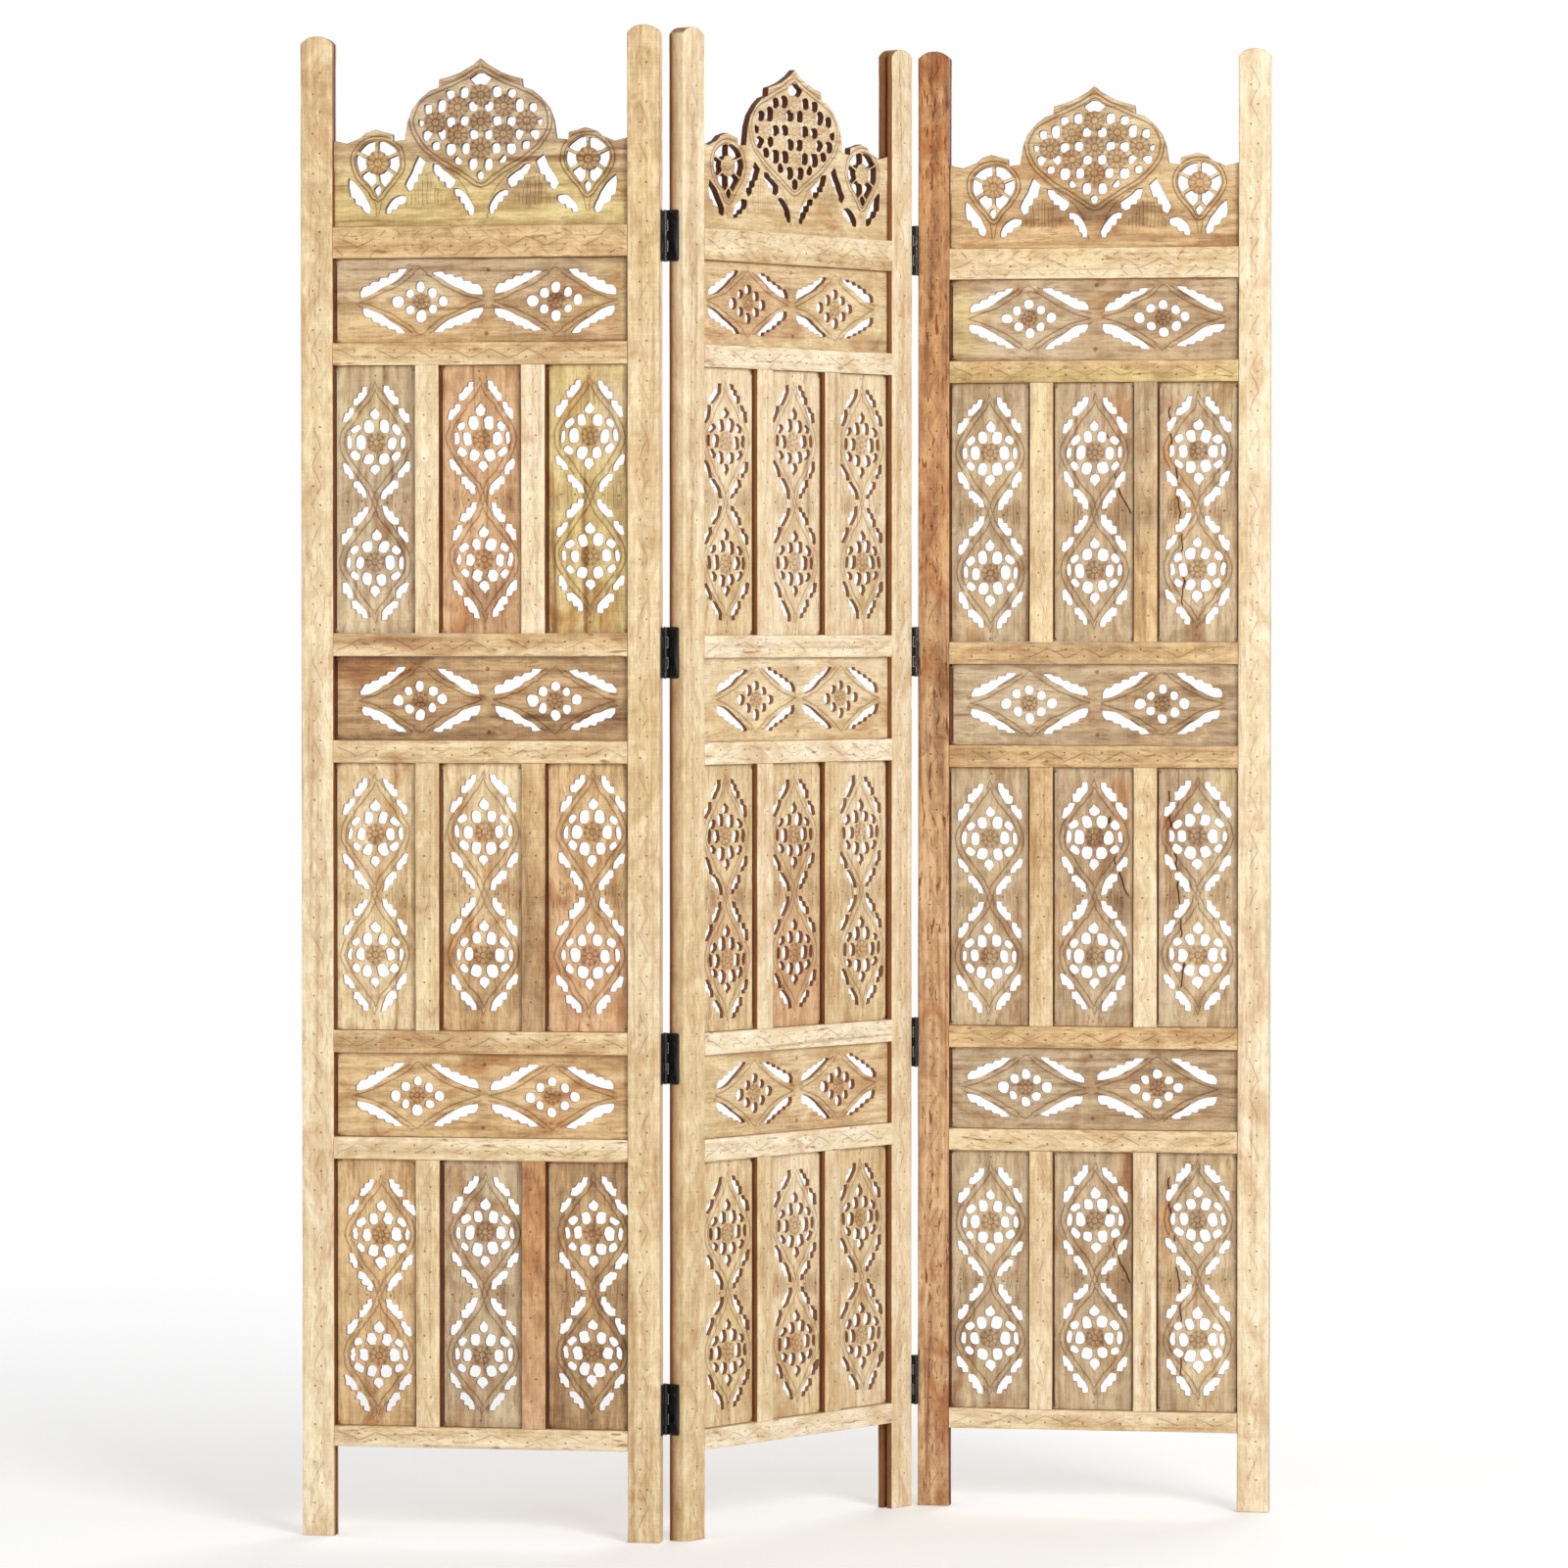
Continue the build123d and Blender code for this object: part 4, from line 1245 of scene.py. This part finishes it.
# How far the hand-drawn patterns are off their marks, as tall_board and wide_board take it
TALL_PLACES = {
    ("left", "upper"): ((0.5, -0.5, -3.5, -4), (0.5, 3.5, 0, 0.5), (2.5, 3, 3, 4)),
    ("left", "middle"): ((-0.5, -1, 1.5, 2.5), (2.5, 2.5, 4.5, 3.5), (5, 2.5, 4.5, 2.5)),
    ("left", "lower"): ((5, 2.5, -4, -3), (3.5, 1, -0.5, -0.5), (6, 5, 2, 2)),
    ("middle", "upper"): ((-1, 0, 0, -1), (-2, 0, 1, 0), (0, 1.5, 1, 0)),
    ("middle", "middle"): ((-1, 1, 0, -1), (-1.5, 0, 1, 1), (-2, 0.5, 0.5, 0)),
    ("middle", "lower"): ((2, 3, 0, 0), (1, 3.5, 1, 0), (-2, 1.5, 0, 1)),
    ("right", "upper"): ((-0.5, 0, 0, -2), (0.5, 0.5, 1, 1), (-0.5, -1, 2, 1)),
    ("right", "middle"): ((-0.5, -1, -1, -2), (0.5, 0.5, 1, 1), (-0.5, -0.5, 4, 1)),
    ("right", "lower"): ((0.5, 0, -1, -2), (2, 1.5, 2, 1), (0.5, 0.5, 4, 2)),
}
WIDE_PLACES = {  # from the lowest up
    "left": ((2, 5, -0.5), (6, 8, -2), (7, 9, -1)),
    "middle": ((4, 3, 0), (7, 7, 0), (-7, -3.5, 1)),
    "right": ((-4, -1.5, 1), (0.5, 3.5, 1.5), (-0.5, 4, 2)),
}
TONGUE_REACH = OPENING / 2 + BOARD_REACH - 0.2

for panel, matrix in MATRICES.items():
    def finish_piece(name, slot, shells, merge=False):
        """One piece of the shells, each given with its shift, in place of the named node."""
        piece = Piece()
        for shell, *shift in shells:
            piece.add(shell, shift or (0, 0, 0))
        node = f"{panel}_panel_{name}"
        piece.build(node + "_carved", matrix, f"{panel}_panel", slot, node, merge)

    feet, centres = [LEGS[panel]], []
    for rail_height, opening in zip(RAIL_HEIGHTS, (TALL_OPENING, WIDE_OPENING) * 3):
        foot = feet[-1] + rail_height
        centres.append(foot + opening / 2)
        feet.append(foot + opening)
    crest_foot = feet[-1] + RAIL_HEIGHTS[-1]

    for side_name, side, top in zip(("left", "right"), (-1, 1), STILE_TOPS[panel]):
        shell = stile(f"{panel} {side_name} stile", side, top, STILE_TINTS[panel, side_name])
        finish_piece(f"{side_name}_stile", "frame_wood", [(shell,)], True)

    for name, foot, height, tints in zip(RAIL_NAMES, feet, RAIL_HEIGHTS, RAIL_TINTS[panel]):
        label = f"{panel} {name} rail"
        shells = [rail(label, foot, height, tints)]
        shells += hidden_ends(label, foot, height - 0.5, OPENING / 2 - 1, OPENING / 2 + BOARD_REACH,
                              tints, (foot, foot + height))
        finish_piece(f"{name}_rail", "frame_wood", [(shell,) for shell in shells], True)

    shells = []
    for k, tints in enumerate(MUNTIN_TINTS[panel]):
        tier, column = divmod(k, 2)
        y0 = centres[2 * tier] - TALL_OPENING / 2
        shells.append((muntin(f"{panel} muntin {k}", (column - 0.5) * PITCH, y0, tints),))
    finish_piece("muntins", "frame_wood", shells, True)

    for tier, tier_name in enumerate(TIERS):
        shells = []
        for column, tints in enumerate(BOARD_TINTS[panel, tier_name]):
            label = f"{panel} {tier_name} tall board {column}"
            crack = CRACKS.get(column, ()) if panel == "right" else ()
            carving = tall_board(label, TALL_PLACES[panel, tier_name][column], crack)
            # Shadow gaps at the board's two ends; relief() paints shadow on their floors
            for side, gap in zip((-1, 1), TALL_GAPS[panel]):
                gap *= carving.rng.uniform(0.7, 1.3)
                carving.steps.append((side, COLUMN / 2 - gap, 1.6))
            for side in (-1, 1):
                tints = (*tints, (side * 28, 0, 12, 15, "brown", carving.rng.uniform(0.2, 0.6)))
            shell = tongued_board(label, carving, COLUMN, TALL_OPENING, tints, 0)
            shells.append((shell, (column - 1) * PITCH, centres[2 * tier], 0))
        finish_piece(f"{tier_name}_tall_boards", "jali_wood", shells)

    shells = []
    for k, tints in enumerate(WIDE_TINTS[panel]):
        label = f"{panel} wide board {k}"
        carving = wide_board(label, WIDE_PLACES[panel][k])
        # Shadow gaps at the board's ends; relief() paints shadow on their floors
        carving.steps.append((-1, OPENING / 2 - carving.rng.uniform(2, 4), 1.8))
        tints = (*tints, (0, 0, 15, 46, "brown", carving.rng.uniform(0.2, 0.5)))
        if carving.rng.random() < 0.4:
            carving.steps.append((1, OPENING / 2 - carving.rng.uniform(0.8, 2), 1.6))
        shell = tongued_board(label, carving, OPENING, WIDE_OPENING, tints, 1)
        shells.append((shell, 0, centres[2 * k + 1], 0))
    finish_piece("wide_boards", "jali_wood", shells)

    label, tints = f"{panel} crest", CREST_TINTS[panel]
    carving = crest_board(label, *CREST_LOOKS[panel])
    reach = OPENING / 2 - 0.2
    half_edge = array(CREST_HALF)
    top_edge = resample(np.vstack([half_edge[::-1] * (-1, 1), half_edge[1:]])[::-1], 6)
    top_edge[:, 0] = np.clip(top_edge[:, 0], -reach, reach)
    top_edge[:, 1] -= 0.5
    top_edge = top_edge[np.append(True, np.hypot(*np.diff(top_edge, axis=0).T) > 0.3)]
    foot_edge = array([(x, 0.45) for x in np.linspace(-reach, reach, 40)])
    loop = np.vstack([foot_edge, top_edge])
    # Its deep walls get more painted shade than a board's
    shell = pierced(label, loop, carving, tints, 1, (10, 150), CREST_THICKNESS, 1.8)
    shells = [(shell, 0, crest_foot, (BOARD_THICKNESS - CREST_THICKNESS) / 2)]
    shells += [(end, 0, crest_foot, 0)
               for end in hidden_ends(label, 0, 91, reach - 1, TONGUE_REACH, tints, (10, 150))]
    finish_piece("crest", "jali_wood", shells)


# ------------------------------------------------------------ the hinges
def stacked(rings, rub, tips=()):
    """Shell through rings of equally many points; its ends are flat, or come to the two tips."""
    count = len(rings[0])
    last = (len(rings) - 1) * count
    faces = []
    for start in range(0, last, count):
        for k in range(count):
            j = (k + 1) % count
            faces.append([start + k, start + j, start + count + j, start + count + k])
    if tips:
        apex = last + count
        faces += [[(k + 1) % count, k, apex] for k in range(count)]
        faces += [[last + k, last + (k + 1) % count, apex + 1] for k in range(count)]
    else:
        faces += [list(range(count))[::-1], [last + k for k in range(count)]]
    verts = np.array([p for ring in (*rings, tips) for p in ring], dtype=float)
    return verts, [faces], {"rub": np.full(len(verts), rub)}


def arc(radius, start, end, count, last=True):
    """Points about the origin from one angle to another in degrees, the last kept or left out."""
    a = np.radians(np.linspace(start, end, count, endpoint=last))
    return np.stack([np.cos(a), np.sin(a)], axis=1) * radius


def prism(profile, z0, z1, bevel, rub):
    """Solid of a closed profile between two heights with its end edges eased."""
    p = anticlockwise(array(profile))
    inner = grown(p, -bevel, 0.3)
    levels = ((inner, z0), (p, z0 + bevel), (p, z1 - bevel), (inner, z1))
    return stacked([np.column_stack([q, np.full(len(q), z)]) for q, z in levels], rub)


LEAF_START = KNUCKLE_RADIUS + KNUCKLE_PLAY
LEAF_FACE = -HINGE_GAP / 2  # the leaf's face on the stile's edge
LEAF_BACK = LEAF_FACE + LEAF_THICKNESS
LEAF_CORNER = 2.2
CORNER_TURNS = ((1, 1, 0), (-1, 1, 90), (-1, -1, 180), (1, -1, 270))


def leaf_shells(knuckles):
    """Leaf and rolled knuckles about the pivot: X out of the stile's edge, Y into its thickness."""
    corners = []
    for sx, sy, start in CORNER_TURNS:
        at = (LEAF_START + LEAF_REACH * (sx > 0) - sx * LEAF_CORNER,
              sy * (HINGE_HEIGHT / 2 - LEAF_CORNER))
        corners.append(arc(LEAF_CORNER, start, start + 90, 5) + at)
    plate = anticlockwise(np.concatenate(corners))
    middle = plate.mean(axis=0)
    levels = ((0.0, LEAF_FACE), (0.0, LEAF_BACK - 0.3), (0.3, LEAF_BACK))
    rings = [middle + (plate - middle) * (1 - inset / 8) for inset, _ in levels]
    shells = [stacked([np.column_stack([np.full(len(ring), x), ring])
                       for ring, (_, x) in zip(rings, levels)], 0.0)]
    length = HINGE_HEIGHT / KNUCKLES
    for place_up in knuckles:
        z0 = place_up * length - HINGE_HEIGHT / 2 + 0.12
        z1 = z0 + length - 0.24
        bore = arc(PIN_RADIUS + 0.08, -150, 176, 22)
        shells.append(prism([*arc(KNUCKLE_RADIUS, 176, -150, 22), *bore], z0, z1, 0.25, 1.0))
        web = ((LEAF_FACE, LEAF_START + 1), (LEAF_FACE, 1.2), (LEAF_FACE - 0.9, -0.6),
               (LEAF_FACE - 0.1, -1.0), (LEAF_BACK - 0.2, 1.5), (LEAF_BACK, LEAF_START + 1))
        shells.append(prism(web, z0, z1, 0.2, 0.6))
    return shells


def screw_shells():
    """The heads of a leaf's two countersunk wood screws."""
    y = LEAF_START + LEAF_REACH * 0.56
    shells = []
    for z in (-16.0, 16.0):
        rings = [np.column_stack([np.full(20, LEAF_BACK + x), arc(r, 0, 360, 20, False) + (y, z)])
                 for r, x in ((2.7, -0.7), (2.6, 0.02), (1.7, 0.16))]
        tips = ((LEAF_BACK - 0.7, y, z), (LEAF_BACK + 0.2, y, z))
        shells.append(stacked(rings, 1.0, tips))
    return shells


def pin_shells():
    tall = HINGE_HEIGHT / 2
    levels = ((0.5, -tall - 0.6), (0, -tall - 0.25), (0, tall + 0.25), (0.5, tall + 0.6))
    return [stacked([np.column_stack([arc(PIN_RADIUS - less, 0, 360, 20, False), np.full(20, z)])
                     for less, z in levels], 1.0)]


def hinge_matrix(pivot, height, out_of_edge, up):
    """Turn and shift (mm) of a hinge leaf: X out of the stile's edge, Z up or down."""
    x, z = np.array(out_of_edge), np.array((0, 0, up))
    turn = np.column_stack([x, np.cross(z, x), z])
    return turn, np.array((pivot[0] / MM, pivot[1] / MM, height))


def build_hinges(shells, pivot, out_of_edge, up, *names, **settings):
    """One object of the shells at each of the four hinges of a line."""
    piece = Piece()
    for height in HINGE_CENTRES:
        turn, shift = hinge_matrix(pivot, height, out_of_edge, up)
        for verts, faces, values in shells:
            piece.add((verts @ turn.T + shift, faces, values))
    name, body, slot, node = names
    piece.build(name, Matrix.Identity(4), body, slot, node, **settings)


def across_of(panel):
    return np.array(MATRICES[panel].to_3x3())[:, 0]


middle_leaf = leaf_shells(range(0, KNUCKLES, 2))
outer_leaf = leaf_shells(range(1, KNUCKLES, 2))
for side_name, pivot, sign in (("left", left_pivot, 1), ("right", right_pivot, -1)):
    middle_out = across_of("middle") * -sign
    for row, shells, out_of_edge, up, body in (
        ("middle", middle_leaf, middle_out, 1, "middle_panel"),
        ("outer", outer_leaf, across_of(side_name) * sign, -1, f"{side_name}_panel"),
    ):
        node = f"{side_name}_hinge_{row}_leaves"
        build_hinges(shells, pivot, out_of_edge, up, node + "_rolled", body, "hinge_steel", node,
                     sharp=35)
        build_hinges(screw_shells(), pivot, out_of_edge, up, f"{side_name}_hinge_{row}_screws",
                     body, "hinge_steel", node)
    node = f"{side_name}_hinge_pins"
    build_hinges(pin_shells(), pivot, middle_out, 1, node + "_round", "middle_panel", "pin_steel",
                 node, sharp=40)

# ------------------------------------------------------------ studio
FLOOR_RADIUS = 6.0
mesh = bpy.data.meshes.new("floor")
mesh.from_pydata([(*p, 0) for p in arc(FLOOR_RADIUS, 0, 360, 96, False)], [], [list(range(96))])
floor = bpy.data.objects.new("floor", mesh)
bpy.context.collection.objects.link(floor)
floor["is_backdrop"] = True


def seen_as_background(g):
    """1 for the camera's own rays and those of reflections and glass, 0 for lighting."""
    rays = g.tree.nodes.new("ShaderNodeLightPath").outputs
    seen = g.math("MAXIMUM", rays["Is Camera Ray"], rays["Is Glossy Ray"])
    return g.math("MAXIMUM", seen, rays["Is Transmission Ray"])


material, g, shader = material_graph("floor")
mesh.materials.append(material)
g.plug(shader["Roughness"], 0.9)
g.plug(shader["Specular IOR Level"], 0.0)
g.plug(shader["Base Color"], (0.86, 0.86, 0.86, 1))
matt = g.tree.nodes["Principled BSDF"].outputs[0]
place = g.node("ShaderNodeTexCoord", output=3)
far = g.node("ShaderNodeVectorMath", {0: place}, output=1, operation="LENGTH")
glow, white = (g.node("ShaderNodeEmission", {"Strength": strength}) for strength in (0.2, 1.0))
near = g.node("ShaderNodeAddShader", {0: matt, 1: glow})
backdrop = g.node("ShaderNodeMixShader", {0: g.ramp(far, 0.9, 3.2), 1: near, 2: white})
final = g.node("ShaderNodeMixShader", {0: seen_as_background(g), 1: matt, 2: backdrop})
g.plug(g.tree.nodes["Material Output"].inputs["Surface"], final)

scene = bpy.context.scene
scene.world = bpy.data.worlds.new("studio")
scene.world.use_nodes = True
g = Graph(scene.world.node_tree)
sky = g.tree.nodes["Background"].inputs
g.plug(sky["Color"], (1, 1, 1, 1))
g.plug(sky["Strength"], g.ramp(seen_as_background(g), 0.0, 1.0, 0.5, 1.0))

LAMP_AIM = Vector((0, 0, 0.85))
for name, at, size, power in (
    ("key", (3.5, -5.0, 3.0), 2.4, 245),
    ("fill", (-3.0, -4.4, 1.9), 2.8, 38),
    ("back", (0.8, 4.2, 2.8), 2.8, 90),
):
    light = bpy.data.lights.new(name, "AREA")
    light.size, light.energy = size, power
    lamp = bpy.data.objects.new(name, light)
    bpy.context.collection.objects.link(lamp)
    lamp.location = at
    lamp.rotation_euler = (LAMP_AIM - Vector(at)).to_track_quat("-Z", "Y").to_euler()

# The camera as solved from the photograph, from the panels' edges
camera_data = bpy.data.cameras.new("camera")
camera_data.lens = 156.03
camera_data.sensor_width = 36
camera = bpy.data.objects.new("camera", camera_data)
bpy.context.collection.objects.link(camera)
camera.location = (1.2438, -7.4572, 1.0005)
camera.rotation_euler = (math.radians(90 - 1.335), 0, math.radians(9.545))
scene.camera = camera
scene.view_settings.view_transform = "Standard"

boxes = {"cad": cad_box, "visual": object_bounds()}
({key: [[float(value) for value in corner] for corner in box]
           for key, box in boxes.items()})
